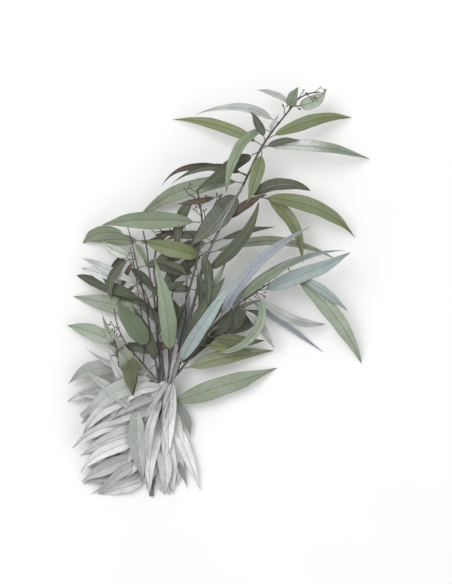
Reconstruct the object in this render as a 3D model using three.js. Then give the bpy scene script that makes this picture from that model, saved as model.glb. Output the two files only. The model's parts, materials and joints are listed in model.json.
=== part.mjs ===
// Preserved eucalyptus sprig: one cut stem with side twigs and long sickle leaves.
// It lies on a flat surface, so +Z is up, and +Y runs from the cut end to the leader's tip.
// Millimetres and degrees. The cut end and the hanging leaf tips rest at Z = 0.

import * as THREE from "three";

// Driving dimensions.

// Air left between a side piece and the stem that it grows from.
const JOINT_GAP = 0.3;

// Every leaf: a stalk that opens into a thin blade, thickest at the midrib.
const STALK_LENGTH = 11;
const STALK_THICKNESS = 1.4;
const BLADE_THICKNESS = 1.1;
// Share of the blade's length at which it is widest, and how full its outline is.
const WIDEST_AT = 0.38;
const FULLNESS = 1.5;
// How far the margins stand above the midrib, as a share of the half width.
const CUPPING = 0.16;
// Height of the middle of a leaf tip that rests on the surface.
const RESTING_TIP = 0;

const LEAF_SIDES = 4;
const LEAF_STEPS = 14;
const TWIG_SIDES = 8;
const TWIG_STEP = 16;
const MIDLINE_STEPS = 56;

// Colours of the dyed and dried leaves, and of the bark.
const TONES = {
  bark: 0x5d534d,
  sage: 0x84936c,
  green: 0x6f8258,
  dark: 0x4a5245,
  brown: 0x4f4336,
  silver: 0xb2b7b0,
  blue: 0x9aafae,
  lilac: 0x9d9ea6,
};
const LEAF_ROUGHNESS = 0.7;
const BARK_ROUGHNESS = 0.85;

// The leading stem and its twigs. A route is the middle of the wood, from foot to tip. A side
// twig starts on the wood of its parent, "at" millimetres from the parent's foot.
const TWIGS = [
  {
    name: "main_stem",
    footRadius: 2.9,
    tipRadius: 0.8,
    route: [
      [0, 0, 2.9], [5, 80, 11], [20, 130, 18], [40, 195, 28], [58, 260, 36], [72, 312, 42], [100, 370, 48],
      [122, 411, 52], [139, 447, 55], [155, 473, 57], [178, 502, 58], [196, 523, 58], [220, 529, 57],
    ],
  },
  {
    name: "shoulder_twig",
    parent: "main_stem",
    at: 150,
    footRadius: 1.6,
    tipRadius: 1.0,
    route: [[30, 200, 34], [48, 262, 46], [62, 315, 54], [68, 358, 60], [65, 385, 64], [62, 402, 66]],
  },
  {
    name: "left_twig",
    parent: "main_stem",
    at: 125,
    footRadius: 1.6,
    tipRadius: 0.6,
    route: [[9, 165, 26], [2, 205, 32], [-6, 255, 40], [-16, 302, 46], [-25, 342, 50], [-29, 356, 51]],
  },
  {
    name: "outer_twig",
    parent: "left_twig",
    at: 34,
    footRadius: 1.0,
    tipRadius: 0.6,
    route: [[-15, 183, 34], [-34, 207, 38], [-44, 232, 40], [-47, 250, 41]],
  },
  {
    name: "silver_twig",
    parent: "main_stem",
    at: 168,
    footRadius: 1.6,
    tipRadius: 0.6,
    route: [
      [65, 202, 32], [82, 225, 38], [101, 241, 42], [117, 256, 45], [133, 267, 47], [146, 276, 48],
      [163, 285, 48], [182, 291, 46], [202, 295, 43],
    ],
  },
  {
    name: "right_twig",
    parent: "main_stem",
    at: 386,
    footRadius: 1.2,
    tipRadius: 0.6,
    route: [[119, 384, 52], [140, 393, 54], [152, 396, 55]],
  },
  {
    name: "basal_twig",
    parent: "main_stem",
    at: 34,
    footRadius: 1.3,
    tipRadius: 0.6,
    route: [[-5, 60, 14], [-12, 100, 22], [-17, 140, 28]],
  },
];

// The leaves, twig by twig. Each leaf grows "at" millimetres from its twig's foot, in a compass
// heading seen from above (0 along +X, 90 along +Y), and turns by "bend" on its way to the tip.
// "late" above 1 keeps the bend for the tip, below 1 for the foot. "tip" is the tip's height
// over the surface and "arch" how far the middle rises above the straight way there.
const LEAF_GROUPS = [
  {
    group: "crown",
    on: "main_stem",
    leaves: [
      { at: 553, heading: 130, bend: 45, long: 50, wide: 9, tip: 34, arch: 5, roll: 20, tone: "silver" },
      { at: 556, heading: 0, bend: 60, long: 52, wide: 18, tip: 44, arch: 0, roll: -10, tone: "sage" },
      { at: 503, heading: 30, bend: -27, long: 117, wide: 17, tip: 0, arch: 20, roll: 12, tone: "green" },
      { at: 490, heading: 5, bend: -20, long: 144, wide: 15, tip: 0, arch: 22, roll: -8, tone: "sage" },
      { at: 525, heading: 145, bend: 62, long: 112, wide: 12, tip: 58, arch: 8, roll: 15, tone: "silver" },
      { at: 490, heading: 148, bend: 28, long: 125, wide: 15, tip: 0, arch: 15, roll: -14, tone: "green" },
      {
        at: 510, heading: 92, bend: 174, late: 0.22, long: 112,
        wide: 14, tip: 80, arch: 6, roll: 18, tone: "sage",
      },
      { at: 486, heading: 260, bend: -12, long: 76, wide: 18, tip: 66, arch: 8, roll: -12, tone: "green" },
      { at: 479, heading: 209, bend: 8, long: 96, wide: 18, tip: 55, arch: 7, roll: 16, tone: "dark" },
    ],
  },
  {
    group: "upper",
    on: "main_stem",
    leaves: [
      {
        at: 447, heading: 164, bend: 78, late: 2.2, long: 120,
        wide: 10, tip: 40, arch: 5, roll: -20, tone: "brown",
      },
      { at: 436, heading: 175, bend: 45, long: 146, wide: 21, tip: 0, arch: 10, roll: 14, tone: "sage" },
      { at: 424, heading: 239, bend: -22, long: 98, wide: 29, tip: 74, arch: 8, roll: -15, tone: "dark" },
      { at: 348, heading: 186, bend: 46, long: 78, wide: 19, tip: 12, arch: -4, roll: 10, tone: "sage" },
      { at: 352, heading: 22, bend: -16, long: 80, wide: 9, tip: 50, arch: 4, roll: 20, tone: "dark" },
      { at: 328, heading: 168, bend: -5, long: 86, wide: 22, tip: 42, arch: 8, roll: -10, tone: "green" },
      { at: 334, heading: 24, bend: -55, long: 178, wide: 12, tip: 0, arch: 15, roll: 10, tone: "green" },
      { at: 310, heading: 26, bend: 52, long: 118, wide: 17, tip: 75, arch: 10, roll: -16, tone: "dark" },
    ],
  },
  {
    group: "lower",
    on: "main_stem",
    leaves: [
      { at: 195, heading: 82, bend: -8, long: 80, wide: 12, tip: 10, arch: -5, roll: 10, tone: "blue" },
      { at: 204, heading: 66, bend: -13, long: 108, wide: 20, tip: 60, arch: 14, roll: -18, tone: "dark" },
      { at: 180, heading: 62, bend: -12, long: 142, wide: 18, tip: 85, arch: 18, roll: 14, tone: "blue" },
      { at: 138, heading: 235, bend: 45, long: 92, wide: 12, tip: 30, arch: 14, roll: -10, tone: "silver" },
      { at: 128, heading: 17, bend: 1, long: 153, wide: 26, tip: 0, arch: 8, roll: 8, tone: "sage" },
      { at: 122, heading: 270, bend: 25, long: 68, wide: 10, tip: 0, arch: 5, roll: 10, tone: "silver" },
      { at: 22, heading: 150, bend: 40, long: 92, wide: 16, tip: 0, arch: 6, roll: -12, tone: "silver" },
    ],
  },
  {
    group: "shoulder",
    on: "shoulder_twig",
    leaves: [
      { at: 42, heading: 90, bend: 18, long: 132, wide: 22, tip: 70, arch: 22, roll: 12, tone: "sage" },
      { at: 222, heading: 172, bend: 18, long: 130, wide: 23, tip: 42, arch: 10, roll: -12, tone: "sage" },
    ],
  },
  {
    group: "left",
    on: "left_twig",
    leaves: [
      { at: 24, heading: 140, bend: -8, long: 120, wide: 14, tip: 0, arch: -5, roll: 10, tone: "silver" },
      { at: 76, heading: 130, bend: -10, long: 76, wide: 26, tip: 48, arch: 12, roll: 12, tone: "sage" },
      { at: 126, heading: 170, bend: -2, long: 100, wide: 22, tip: 0, arch: 4, roll: -8, tone: "sage" },
      { at: 140, heading: 158, bend: 4, long: 95, wide: 16, tip: 12, arch: 18, roll: 10, tone: "dark" },
      { at: 160, heading: 153, bend: 4, long: 85, wide: 12, tip: 20, arch: 15, roll: -14, tone: "silver" },
      {
        at: 204, heading: 178, bend: 116, late: 0.55, long: 92,
        wide: 13, tip: 0, arch: -8, roll: 8, tone: "dark",
      },
      { at: 225, heading: 154, bend: 66, long: 70, wide: 19, tip: 0, arch: 8, roll: -12, tone: "sage" },
    ],
  },
  {
    group: "outer",
    on: "outer_twig",
    leaves: [
      { at: 60, heading: 155, bend: 14, long: 84, wide: 20, tip: 10, arch: 8, roll: 12, tone: "sage" },
      { at: 44, heading: 262, bend: 16, long: 54, wide: 13, tip: 46, arch: 3, roll: -10, tone: "dark" },
    ],
  },
  {
    group: "basal",
    on: "basal_twig",
    leaves: [
      { at: 25, heading: 150, bend: 2, long: 102, wide: 16, tip: 0, arch: 10, roll: 12, tone: "silver" },
      {
        at: 45, heading: 115, bend: 105, late: 1.5, long: 132,
        wide: 14, tip: 0, arch: 22, roll: -10, tone: "silver",
      },
      { at: 76, heading: 132, bend: 15, long: 95, wide: 14, tip: 30, arch: 20, roll: 14, tone: "silver" },
      { at: 104, heading: 135, bend: -30, long: 72, wide: 12, tip: 45, arch: 8, roll: -12, tone: "silver" },
    ],
  },
  {
    group: "right",
    on: "right_twig",
    leaves: [
      { at: 34, heading: 42, bend: -70, long: 88, wide: 16, tip: 66, arch: 6, roll: -14, tone: "dark" },
      {
        at: 54, heading: -12, bend: -76, late: 0.65, long: 108,
        wide: 17, tip: 22, arch: 2, roll: 16, tone: "green",
      },
      {
        at: 50, heading: -1, bend: -47, late: 1.3, long: 142,
        wide: 20, tip: 0, arch: 25, roll: -10, tone: "green",
      },
    ],
  },
  {
    group: "silver",
    on: "silver_twig",
    leaves: [
      { at: 12, heading: 18, bend: -14, long: 122, wide: 20, tip: 5, arch: 2, roll: -10, tone: "green" },
      { at: 82, heading: 8, bend: 22, long: 72, wide: 28, tip: 22, arch: -6, roll: 10, tone: "dark" },
      { at: 92, heading: 65, bend: -40, long: 176, wide: 15, tip: 45, arch: 16, roll: -12, tone: "lilac" },
      { at: 108, heading: 54, bend: -54, long: 182, wide: 12, tip: 35, arch: 4, roll: 10, tone: "blue" },
      { at: 124, heading: 50, bend: -35, long: 116, wide: 12, tip: 78, arch: 14, roll: -14, tone: "sage" },
      {
        at: 149, heading: -30, bend: -155, late: 0.62, long: 118,
        wide: 13, tip: 26, arch: 6, roll: 20, tone: "sage",
      },
      { at: 141, heading: -36, bend: 2, long: 124, wide: 9, tip: 0, arch: -8, roll: 10, tone: "lilac" },
      { at: 152, heading: -48, bend: 50, long: 105, wide: 13, tip: 10, arch: 8, roll: -12, tone: "silver" },
      { at: 157, heading: 20, bend: 6, long: 130, wide: 21, tip: 50, arch: 14, roll: 12, tone: "blue" },
      { at: 208, heading: -36, bend: -32, long: 150, wide: 21, tip: 0, arch: 18, roll: 14, tone: "sage" },
      { at: 214, heading: -28, bend: -15, long: 80, wide: 12, tip: 30, arch: 22, roll: -12, tone: "blue" },
    ],
  },
];

const UP = new THREE.Vector3(0, 0, 1);

/** Unit vector of a compass heading, level with the surface. */
function compass(degrees) {
  const angle = THREE.MathUtils.degToRad(degrees);
  return new THREE.Vector3(Math.cos(angle), Math.sin(angle), 0);
}

/** Moves each vertex of a straight body to the place that a rule gives it, and drops stale data. */
function reshape(geometry, place) {
  const position = geometry.getAttribute("position");
  const vertex = new THREE.Vector3();
  for (let i = 0; i < position.count; i += 1) {
    vertex.fromBufferAttribute(position, i);
    position.setXYZ(i, ...place(vertex).toArray());
  }
  geometry.deleteAttribute("uv");
  geometry.computeVertexNormals();
  return geometry;
}

/** Point and two cross directions on a curve: across is level with the surface, face points up. */
function frameOn(curve, u, roll = 0) {
  const along = curve.getTangentAt(u);
  const across = new THREE.Vector3().crossVectors(along, UP).normalize();
  const face = new THREE.Vector3().crossVectors(across, along);
  across.applyAxisAngle(along, roll);
  face.applyAxisAngle(along, roll);
  return { centre: curve.getPointAt(u), across, face };
}

/** Foot of a side piece, beside its parent's wood on the side that the piece heads for. */
function footBeside(parent, at, heading, radius) {
  const u = at / parent.length;
  const along = parent.curve.getTangentAt(u);
  const out = heading.clone().addScaledVector(along, -heading.dot(along)).normalize();
  return parent.curve.getPointAt(u).addScaledVector(out, parent.radiusAt(u) + radius + JOINT_GAP);
}

/** A twig's centre line, its length and its tapering radius. */
function growTwig(spec, twigs) {
  const points = spec.route.map((point) => new THREE.Vector3(...point));
  if (spec.parent) {
    const parent = twigs[spec.parent];
    const heading = points[0].clone().sub(parent.curve.getPointAt(spec.at / parent.length));
    points.unshift(footBeside(parent, spec.at, heading.normalize(), spec.footRadius));
  }
  const curve = new THREE.CatmullRomCurve3(points, false, "centripetal");
  const radiusAt = (u) => THREE.MathUtils.lerp(spec.footRadius, spec.tipRadius, u);
  return { name: spec.name, curve, length: curve.getLength(), radiusAt };
}

/** A twig's solid: a straight tapered rod, bent along the twig's centre line. */
function twigSolid(twig) {
  const steps = Math.round(twig.length / TWIG_STEP);
  const rod = new THREE.CylinderGeometry(twig.radiusAt(1), twig.radiusAt(0), 1, TWIG_SIDES, steps);
  return reshape(rod, (vertex) => {
    const { centre, across, face } = frameOn(twig.curve, THREE.MathUtils.clamp(vertex.y + 0.5, 0, 1));
    return centre.addScaledVector(across, vertex.x).addScaledVector(face, vertex.z);
  });
}

/** A leaf's midline, from its foot beside the twig to its tip. */
function growMidline(leaf, twig) {
  const { at, heading, bend, late = 1, long, tip, arch } = leaf;
  const foot = footBeside(twig, at, compass(heading), STALK_THICKNESS / 2);
  const tipHeight = Math.max(tip, RESTING_TIP);
  const points = [];
  const plan = foot.clone();
  for (let i = 0; i <= MIDLINE_STEPS; i += 1) {
    const t = i / MIDLINE_STEPS;
    const height = THREE.MathUtils.lerp(foot.z, tipHeight, t) + 4 * arch * t * (1 - t);
    points.push(new THREE.Vector3(plan.x, plan.y, height));
    plan.addScaledVector(compass(heading + bend * t ** late), long / MIDLINE_STEPS);
  }
  return new THREE.CatmullRomCurve3(points);
}

/** Width of a leaf at a share of its length: the stalk, then a lance-shaped blade. */
function leafWidth(t, long, wide) {
  const blade = (t * long - STALK_LENGTH) / (long - STALK_LENGTH);
  if (blade <= 0) return STALK_THICKNESS;
  const rise = (blade / WIDEST_AT) ** (FULLNESS * WIDEST_AT);
  const fall = ((1 - blade) / (1 - WIDEST_AT)) ** (FULLNESS * (1 - WIDEST_AT));
  return Math.max(STALK_THICKNESS, wide * rise * fall);
}

/** A leaf's solid: a four-sided spindle, flattened and bent along the leaf's midline. */
function leafSolid(leaf, twig) {
  const midline = growMidline(leaf, twig);
  const roll = THREE.MathUtils.degToRad(leaf.roll);
  const spindle = new THREE.SphereGeometry(1, LEAF_SIDES, LEAF_STEPS);
  return reshape(spindle, (vertex) => {
    const slope = Math.acos(THREE.MathUtils.clamp(vertex.y, -1, 1));
    const t = 1 - slope / Math.PI;
    const girth = Math.max(Math.sin(slope), Number.EPSILON);
    const atPole = t === 0 || t === 1;
    const side = atPole ? 0 : vertex.x / girth;
    const top = atPole ? 0 : vertex.z / girth;
    const halfWidth = leafWidth(t, leaf.long, leaf.wide) / 2;
    const thickness = halfWidth * 2 > STALK_THICKNESS ? BLADE_THICKNESS : STALK_THICKNESS;
    const lift = (top * thickness) / 2 + CUPPING * (halfWidth - STALK_THICKNESS / 2) * Math.abs(side);
    const { centre, across, face } = frameOn(midline, t, roll * Math.sin(Math.PI * t));
    return centre.addScaledVector(across, side * halfWidth).addScaledVector(face, lift);
  });
}

/** A named mesh of one tone. */
function makeMesh(name, geometry, tone, roughness) {
  const material = new THREE.MeshStandardMaterial({ color: TONES[tone], roughness, metalness: 0 });
  const mesh = new THREE.Mesh(geometry, material);
  mesh.name = name;
  return mesh;
}

/** Moves the whole sprig so that the origin is under the middle of its box, on the surface. */
function standOnOrigin(group) {
  const box = new THREE.Box3().setFromObject(group);
  const middle = box.getCenter(new THREE.Vector3());
  group.position.set(-middle.x, -middle.y, -box.min.z);
  return group;
}

const sprig = new THREE.Group();
const twigs = {};
for (const spec of TWIGS) {
  const twig = growTwig(spec, twigs);
  twigs[twig.name] = twig;
  sprig.add(makeMesh(twig.name, twigSolid(twig), "bark", BARK_ROUGHNESS));
}
for (const { group, on, leaves } of LEAF_GROUPS) {
  leaves.forEach((leaf, index) => {
    const name = `${group}_leaf_${index + 1}`;
    sprig.add(makeMesh(name, leafSolid(leaf, twigs[on]), leaf.tone, LEAF_ROUGHNESS));
  });
}

export default standOnOrigin(sprig);
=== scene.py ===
"""Looks of a preserved eucalyptus sprig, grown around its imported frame.

The frame holds a plain solid for each twig and each large leaf. Every solid is read back as the line that it
follows, and a finer twig or blade is grown on that line. The smaller leaves, twiglets and buds, which the
frame leaves out, grow on the same twigs by the same rule.

Metres and +Z up. The sprig lies on Z = 0 with its cut end towards -Y.
"""

import json
import logging
import math
from collections.abc import Iterable, Sequence
from dataclasses import dataclass, field
from enum import Enum

import bmesh
import bpy
import numpy as np
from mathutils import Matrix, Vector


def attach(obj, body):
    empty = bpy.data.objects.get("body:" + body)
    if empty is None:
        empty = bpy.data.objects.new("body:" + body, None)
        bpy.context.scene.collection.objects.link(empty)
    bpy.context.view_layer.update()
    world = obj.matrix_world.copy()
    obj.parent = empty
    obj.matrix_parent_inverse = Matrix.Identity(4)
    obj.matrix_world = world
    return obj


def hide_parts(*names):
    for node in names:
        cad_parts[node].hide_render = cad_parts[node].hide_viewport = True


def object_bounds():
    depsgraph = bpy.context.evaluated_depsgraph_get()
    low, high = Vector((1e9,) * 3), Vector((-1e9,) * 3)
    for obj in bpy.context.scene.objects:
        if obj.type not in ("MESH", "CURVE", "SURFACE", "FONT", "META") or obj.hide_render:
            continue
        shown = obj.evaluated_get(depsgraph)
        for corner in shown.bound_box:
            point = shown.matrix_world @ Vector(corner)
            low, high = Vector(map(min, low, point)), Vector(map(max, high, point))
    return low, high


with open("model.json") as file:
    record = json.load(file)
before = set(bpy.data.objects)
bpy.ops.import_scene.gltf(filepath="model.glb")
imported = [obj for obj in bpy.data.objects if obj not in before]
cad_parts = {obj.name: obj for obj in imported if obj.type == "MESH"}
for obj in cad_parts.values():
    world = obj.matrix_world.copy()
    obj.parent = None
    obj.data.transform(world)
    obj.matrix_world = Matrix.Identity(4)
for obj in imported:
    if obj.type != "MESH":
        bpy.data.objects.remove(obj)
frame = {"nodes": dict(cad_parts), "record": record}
CAD_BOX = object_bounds()

LOG = logging.getLogger("sprig")
BODY = "root"
MM = 0.001
UP = np.array((0.0, 0.0, 1.0))
BOX_MARGIN = 0.05 * MM
WELD = 0.01 * MM
FULL_TURN = 2 * math.pi

Array = np.ndarray
Colour = tuple[float, float, float, float]


# The usual curve of screens: straight below its start, and a power above it.
CURVE_START, CURVE_SLOPE, CURVE_OFFSET, CURVE_POWER = 0.04045, 12.92, 0.055, 2.4


def colour(code: str) -> Colour:
    """Linear colour of a six-digit screen colour code, by the curve of screens.

    Args:
        code: Red, green and blue as hexadecimal digits.

    Returns:
        Red, green, blue and an alpha of 1, in linear light.
    """
    linear = []
    for share in (int(code[i : i + 2], 16) / 255 for i in (0, 2, 4)):
        curved = ((share + CURVE_OFFSET) / (1 + CURVE_OFFSET)) ** CURVE_POWER
        linear.append(share / CURVE_SLOPE if share < CURVE_START else curved)
    return (*linear, 1.0)


# ---------------------------------------------------------------------------------------------------------
# Node trees written as Python expressions.


class Sock:
    """One output of a node tree, on which Python's operators add Math and Vector Math nodes."""

    def __init__(self, tree: "Tree", socket: bpy.types.NodeSocket) -> None:
        """Wraps a socket of a tree."""
        self.tree = tree
        self.socket = socket

    def _join(self, operation: str, first: "Operand", second: "Operand") -> "Sock":
        """Adds the node that joins two numbers, two vectors, or a vector and the number that scales it.

        Args:
            operation: Name of the Math operation.
            first: Left value.
            second: Right value.

        Returns:
            The node's result.
        """
        values = (first, second)
        vectors = [isinstance(v, Sock) and v.socket.type == "VECTOR" for v in values]
        if all(vectors) or not any(vectors):
            kind = "ShaderNodeVectorMath" if all(vectors) else "ShaderNodeMath"
            return self.tree.add(kind, {"operation": operation}, {0: first, 1: second})
        if operation != "MULTIPLY":
            raise ValueError(f"{operation} can't join a vector and a number")
        vector, number = values if vectors[0] else values[::-1]
        return self.tree.add("ShaderNodeVectorMath", {"operation": "SCALE"}, {0: vector, "Scale": number})

    def __add__(self, other: "Operand") -> "Sock":
        """Sum."""
        return self._join("ADD", self, other)

    def __radd__(self, other: "Operand") -> "Sock":
        """Sum with a number on the left."""
        return self._join("ADD", other, self)

    def __sub__(self, other: "Operand") -> "Sock":
        """Difference."""
        return self._join("SUBTRACT", self, other)

    def __rsub__(self, other: "Operand") -> "Sock":
        """Difference from a number on the left."""
        return self._join("SUBTRACT", other, self)

    def __mul__(self, other: "Operand") -> "Sock":
        """Product."""
        return self._join("MULTIPLY", self, other)

    def __rmul__(self, other: "Operand") -> "Sock":
        """Product with a number on the left."""
        return self._join("MULTIPLY", other, self)

    def __truediv__(self, other: "Operand") -> "Sock":
        """Quotient."""
        return self._join("DIVIDE", self, other)

    def __rtruediv__(self, other: "Operand") -> "Sock":
        """Quotient of a number on the left."""
        return self._join("DIVIDE", other, self)

    def __pow__(self, other: "Operand") -> "Sock":
        """Power."""
        return self._join("POWER", self, other)

    def of(self, operation: str) -> "Sock":
        """Result of a Math operation that takes one value."""
        return self.tree.add("ShaderNodeMath", {"operation": operation}, {0: self})

    def step(self, low: float, high: float) -> "Sock":
        """Smooth step.

        Args:
            low: Value that gives 0.
            high: Value that gives 1.

        Returns:
            A share from 0 to 1.
        """
        inputs = {"Value": self, "From Min": low, "From Max": high}
        return self.tree.add("ShaderNodeMapRange", {"interpolation_type": "SMOOTHSTEP"}, inputs)

    def parts(self) -> tuple["Sock", "Sock", "Sock"]:
        """Takes a vector apart.

        Returns:
            Its three numbers.
        """
        x = self.tree.add("ShaderNodeSeparateXYZ", inputs={0: self})
        return x, self.tree.also(x, 1), self.tree.also(x, 2)


Operand = Sock | float


class Tree:
    """A node tree under construction, for a material or for Geometry Nodes."""

    def __init__(self, tree: bpy.types.NodeTree) -> None:
        """Starts on an empty tree."""
        self.tree = tree

    @staticmethod
    def _pick(sockets: Iterable[bpy.types.NodeSocket], key: str | int) -> bpy.types.NodeSocket:
        """Finds a socket.

        Args:
            sockets: A node's inputs or outputs.
            key: Place in the list, identifier or name.

        Returns:
            The socket, and of those that share a name, the one in use.
        """
        if isinstance(key, int):
            return sockets[key]
        exact = [s for s in sockets if s.identifier == key]
        named = [s for s in sockets if s.name == key and s.enabled]
        return (exact or named)[0]

    def add(
        self,
        kind: str,
        settings: dict[str, str] | None = None,
        inputs: dict[str | int, object] | None = None,
        output: str | int = 0,
    ) -> Sock:
        """Adds a node.

        Args:
            kind: The node's type.
            settings: The node's own settings, set first.
            inputs: Values or links of its sockets.
            output: The output to hand back.

        Returns:
            The chosen output, or the first input of a node that ends its tree.
        """
        node = self.tree.nodes.new(kind)
        for name, value in (settings or {}).items():
            setattr(node, name, value)
        for key, value in (inputs or {}).items():
            socket = self._pick(node.inputs, key)
            if isinstance(value, Sock):
                self.tree.links.new(value.socket, socket)
            else:
                socket.default_value = value
        return Sock(self, self._pick(node.outputs, output) if node.outputs else node.inputs[0])

    def also(self, sock: Sock, output: str | int) -> Sock:
        """Another output of the node that a value comes from."""
        return Sock(self, self._pick(sock.socket.node.outputs, output))

    def join(self, x: Operand, y: Operand, z: Operand) -> Sock:
        """A vector of three numbers."""
        return self.add("ShaderNodeCombineXYZ", inputs={0: x, 1: y, 2: z})

    def noise(self, place: Sock, scale: float, detail: float = 2.0) -> Sock:
        """Smooth noise.

        Args:
            place: Where to read it.
            scale: Waves in each unit of place.
            detail: How many finer layers it has.

        Returns:
            A value from 0 to 1, mostly near a half.
        """
        inputs = {"Vector": place, "Scale": scale, "Detail": detail}
        return self.add("ShaderNodeTexNoise", {"noise_dimensions": "3D"}, inputs, "Fac")

    def mix(self, share: Operand, first: Sock | Colour, second: Sock | Colour) -> Sock:
        """Blends two colours.

        Args:
            share: 0 for the first colour, 1 for the second.
            first: A colour.
            second: A colour.

        Returns:
            The blend.
        """
        inputs = {"Factor_Float": share, "A_Color": first, "B_Color": second}
        return self.add("ShaderNodeMix", {"data_type": "RGBA"}, inputs, "Result_Color")

    def carried(self, name: str) -> Sock:
        """A vector that the piece's own mesh carries, read by a material."""
        settings = {"attribute_type": "GEOMETRY", "attribute_name": name}
        return self.add("ShaderNodeAttribute", settings, output="Vector")

    def stored(self, name: str) -> Sock:
        """A vector that a mesh or a curve carries, read by Geometry Nodes."""
        return self.add("GeometryNodeInputNamedAttribute", {"data_type": "FLOAT_VECTOR"}, {"Name": name})

    def sampled(self, curve: Sock, share: Sock, name: str) -> Sock:
        """A vector that a curve carries, read at a share of the curve's length by Geometry Nodes.

        Args:
            curve: The curve.
            share: Share of its length.
            name: The vector's name.

        Returns:
            The vector, whose node has the place on the curve too.
        """
        settings = {"mode": "FACTOR", "data_type": "FLOAT_VECTOR"}
        inputs = {"Curves": curve, "Factor": share, "Value": self.stored(name)}
        return self.add("GeometryNodeSampleCurve", settings, inputs, "Value")

    def store(self, geometry: Sock, name: str, value: Sock) -> Sock:
        """Writes a vector on each point of a geometry.

        Args:
            geometry: A mesh or a curve.
            name: The vector's name.
            value: The vector.

        Returns:
            The geometry that carries it.
        """
        settings = {"data_type": "FLOAT_VECTOR", "domain": "POINT"}
        inputs = {"Geometry": geometry, "Name": name, "Value": value}
        return self.add("GeometryNodeStoreNamedAttribute", settings, inputs)


SOCKET_TYPES = {float: "NodeSocketFloat", int: "NodeSocketInt"}


def growing_tree(name: str, sizes: dict[str, float | int]) -> tuple[Tree, dict[str, Sock]]:
    """Starts a Geometry Nodes tree that takes a line and gives a mesh.

    Args:
        name: Name of the tree.
        sizes: Its named inputs with their usual values, apart from the line and the material.

    Returns:
        The tree, and its inputs by name.
    """
    group = bpy.data.node_groups.new(name, "GeometryNodeTree")
    group.interface.new_socket("Line", in_out="INPUT", socket_type="NodeSocketGeometry")
    for label, value in sizes.items():
        socket = group.interface.new_socket(label, in_out="INPUT", socket_type=SOCKET_TYPES[type(value)])
        socket.default_value = value
    group.interface.new_socket("Finish", in_out="INPUT", socket_type="NodeSocketMaterial")
    group.interface.new_socket("Piece", in_out="OUTPUT", socket_type="NodeSocketGeometry")
    tree = Tree(group)
    node = group.nodes.new("NodeGroupInput")
    return tree, {s.name: Sock(tree, s) for s in node.outputs if s.name}


def end_tree(tree: Tree, mesh: Sock, finish: Sock) -> bpy.types.NodeTree:
    """Ends a Geometry Nodes tree.

    Args:
        tree: The tree.
        mesh: What it has grown.
        finish: The material input.

    Returns:
        The finished tree.
    """
    shaded = tree.add("GeometryNodeSetShadeSmooth", inputs={"Geometry": mesh})
    real = tree.add("GeometryNodeRealizeInstances", inputs={"Geometry": shaded})
    dressed = tree.add("GeometryNodeSetMaterial", inputs={"Geometry": real, "Material": finish})
    tree.add("NodeGroupOutput", inputs={0: dressed})
    return tree.tree


def in_scene(name: str, data: bpy.types.ID) -> bpy.types.Object:
    """Puts a mesh, a light or a camera into the scene.

    Args:
        name: Name of its object.
        data: What the object holds.

    Returns:
        The object, at the origin.
    """
    thing = bpy.data.objects.new(name, data)
    bpy.context.scene.collection.objects.link(thing)
    return thing


def grow(
    name: str, line: bpy.types.Mesh, tree: bpy.types.NodeTree, inputs: dict[str, object]
) -> bpy.types.Object:
    """Runs a Geometry Nodes tree on a line, and keeps the result as a plain mesh at the origin.

    Args:
        name: Name of the new piece.
        line: The mesh that the tree starts from.
        tree: The tree.
        inputs: Values of its named inputs.

    Returns:
        The new piece.
    """
    carrier = in_scene(f"{name}_line", line)
    modifier = carrier.modifiers.new("grow", "NODES")
    modifier.node_group = tree
    sockets = {i.name: i.identifier for i in tree.interface.items_tree if i.in_out == "INPUT"}
    for label, value in inputs.items():
        modifier[sockets[label]] = value
    graph = bpy.context.evaluated_depsgraph_get()
    grown = carrier.evaluated_get(graph)
    mesh = bpy.data.meshes.new_from_object(grown, preserve_all_data_layers=True, depsgraph=graph)
    mesh.name = name
    bpy.data.objects.remove(carrier)
    bpy.data.meshes.remove(line)
    return in_scene(name, mesh)


def new_line(chains: Sequence[Array], values: dict[str, Array]) -> bpy.types.Mesh:
    """Makes a mesh of bare lines that carries vectors on its points.

    Args:
        chains: The points of each line.
        values: A vector for each point of all lines, by name.

    Returns:
        The mesh.
    """
    starts = np.cumsum([0] + [len(c) for c in chains])
    edges = [(a + i, a + i + 1) for a, c in zip(starts, chains) for i in range(len(c) - 1)]
    mesh = bpy.data.meshes.new("line")
    mesh.from_pydata(np.vstack(chains).tolist(), edges, [])
    for name, rows in values.items():
        store = mesh.attributes.new(name, "FLOAT_VECTOR", "POINT")
        store.data.foreach_set("vector", rows.astype(np.float32).ravel())
    return mesh


def keep_inside(piece: bpy.types.Object) -> None:
    """Presses a piece back inside the frame's box, so that what lies on the surface lies flat on it.

    Args:
        piece: The piece.
    """
    mesh = piece.data
    places = np.empty(len(mesh.vertices) * 3)
    mesh.vertices.foreach_get("co", places)
    low, high = (np.array(corner) for corner in CAD_BOX)
    inside = np.clip(places.reshape(-1, 3), low + BOX_MARGIN, high - BOX_MARGIN)
    mesh.vertices.foreach_set("co", inside.ravel())
    mesh.update()


def set_on_body(piece: bpy.types.Object, node: str | None = None) -> None:
    """Presses a finished piece inside the frame's box, and gives it to the sprig's body.

    Args:
        piece: The piece.
        node: The frame's node that it stands for, if any.
    """
    keep_inside(piece)
    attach(piece, BODY)
    if node:
        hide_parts(node)
    LOG.info("%s: %d faces", piece.name, len(piece.data.polygons))


# ---------------------------------------------------------------------------------------------------------
# Lines and rings.


def unit(vectors: Array) -> Array:
    """Vectors made 1 long, one in each row."""
    return vectors / np.linalg.norm(vectors, axis=-1, keepdims=True)


def compass(degrees: Array | float) -> Array:
    """Unit vectors of headings seen from above, 0 along +X and 90 along +Y."""
    angle = np.radians(degrees)
    return np.stack((np.cos(angle), np.sin(angle), np.zeros_like(angle)), axis=-1)


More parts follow.
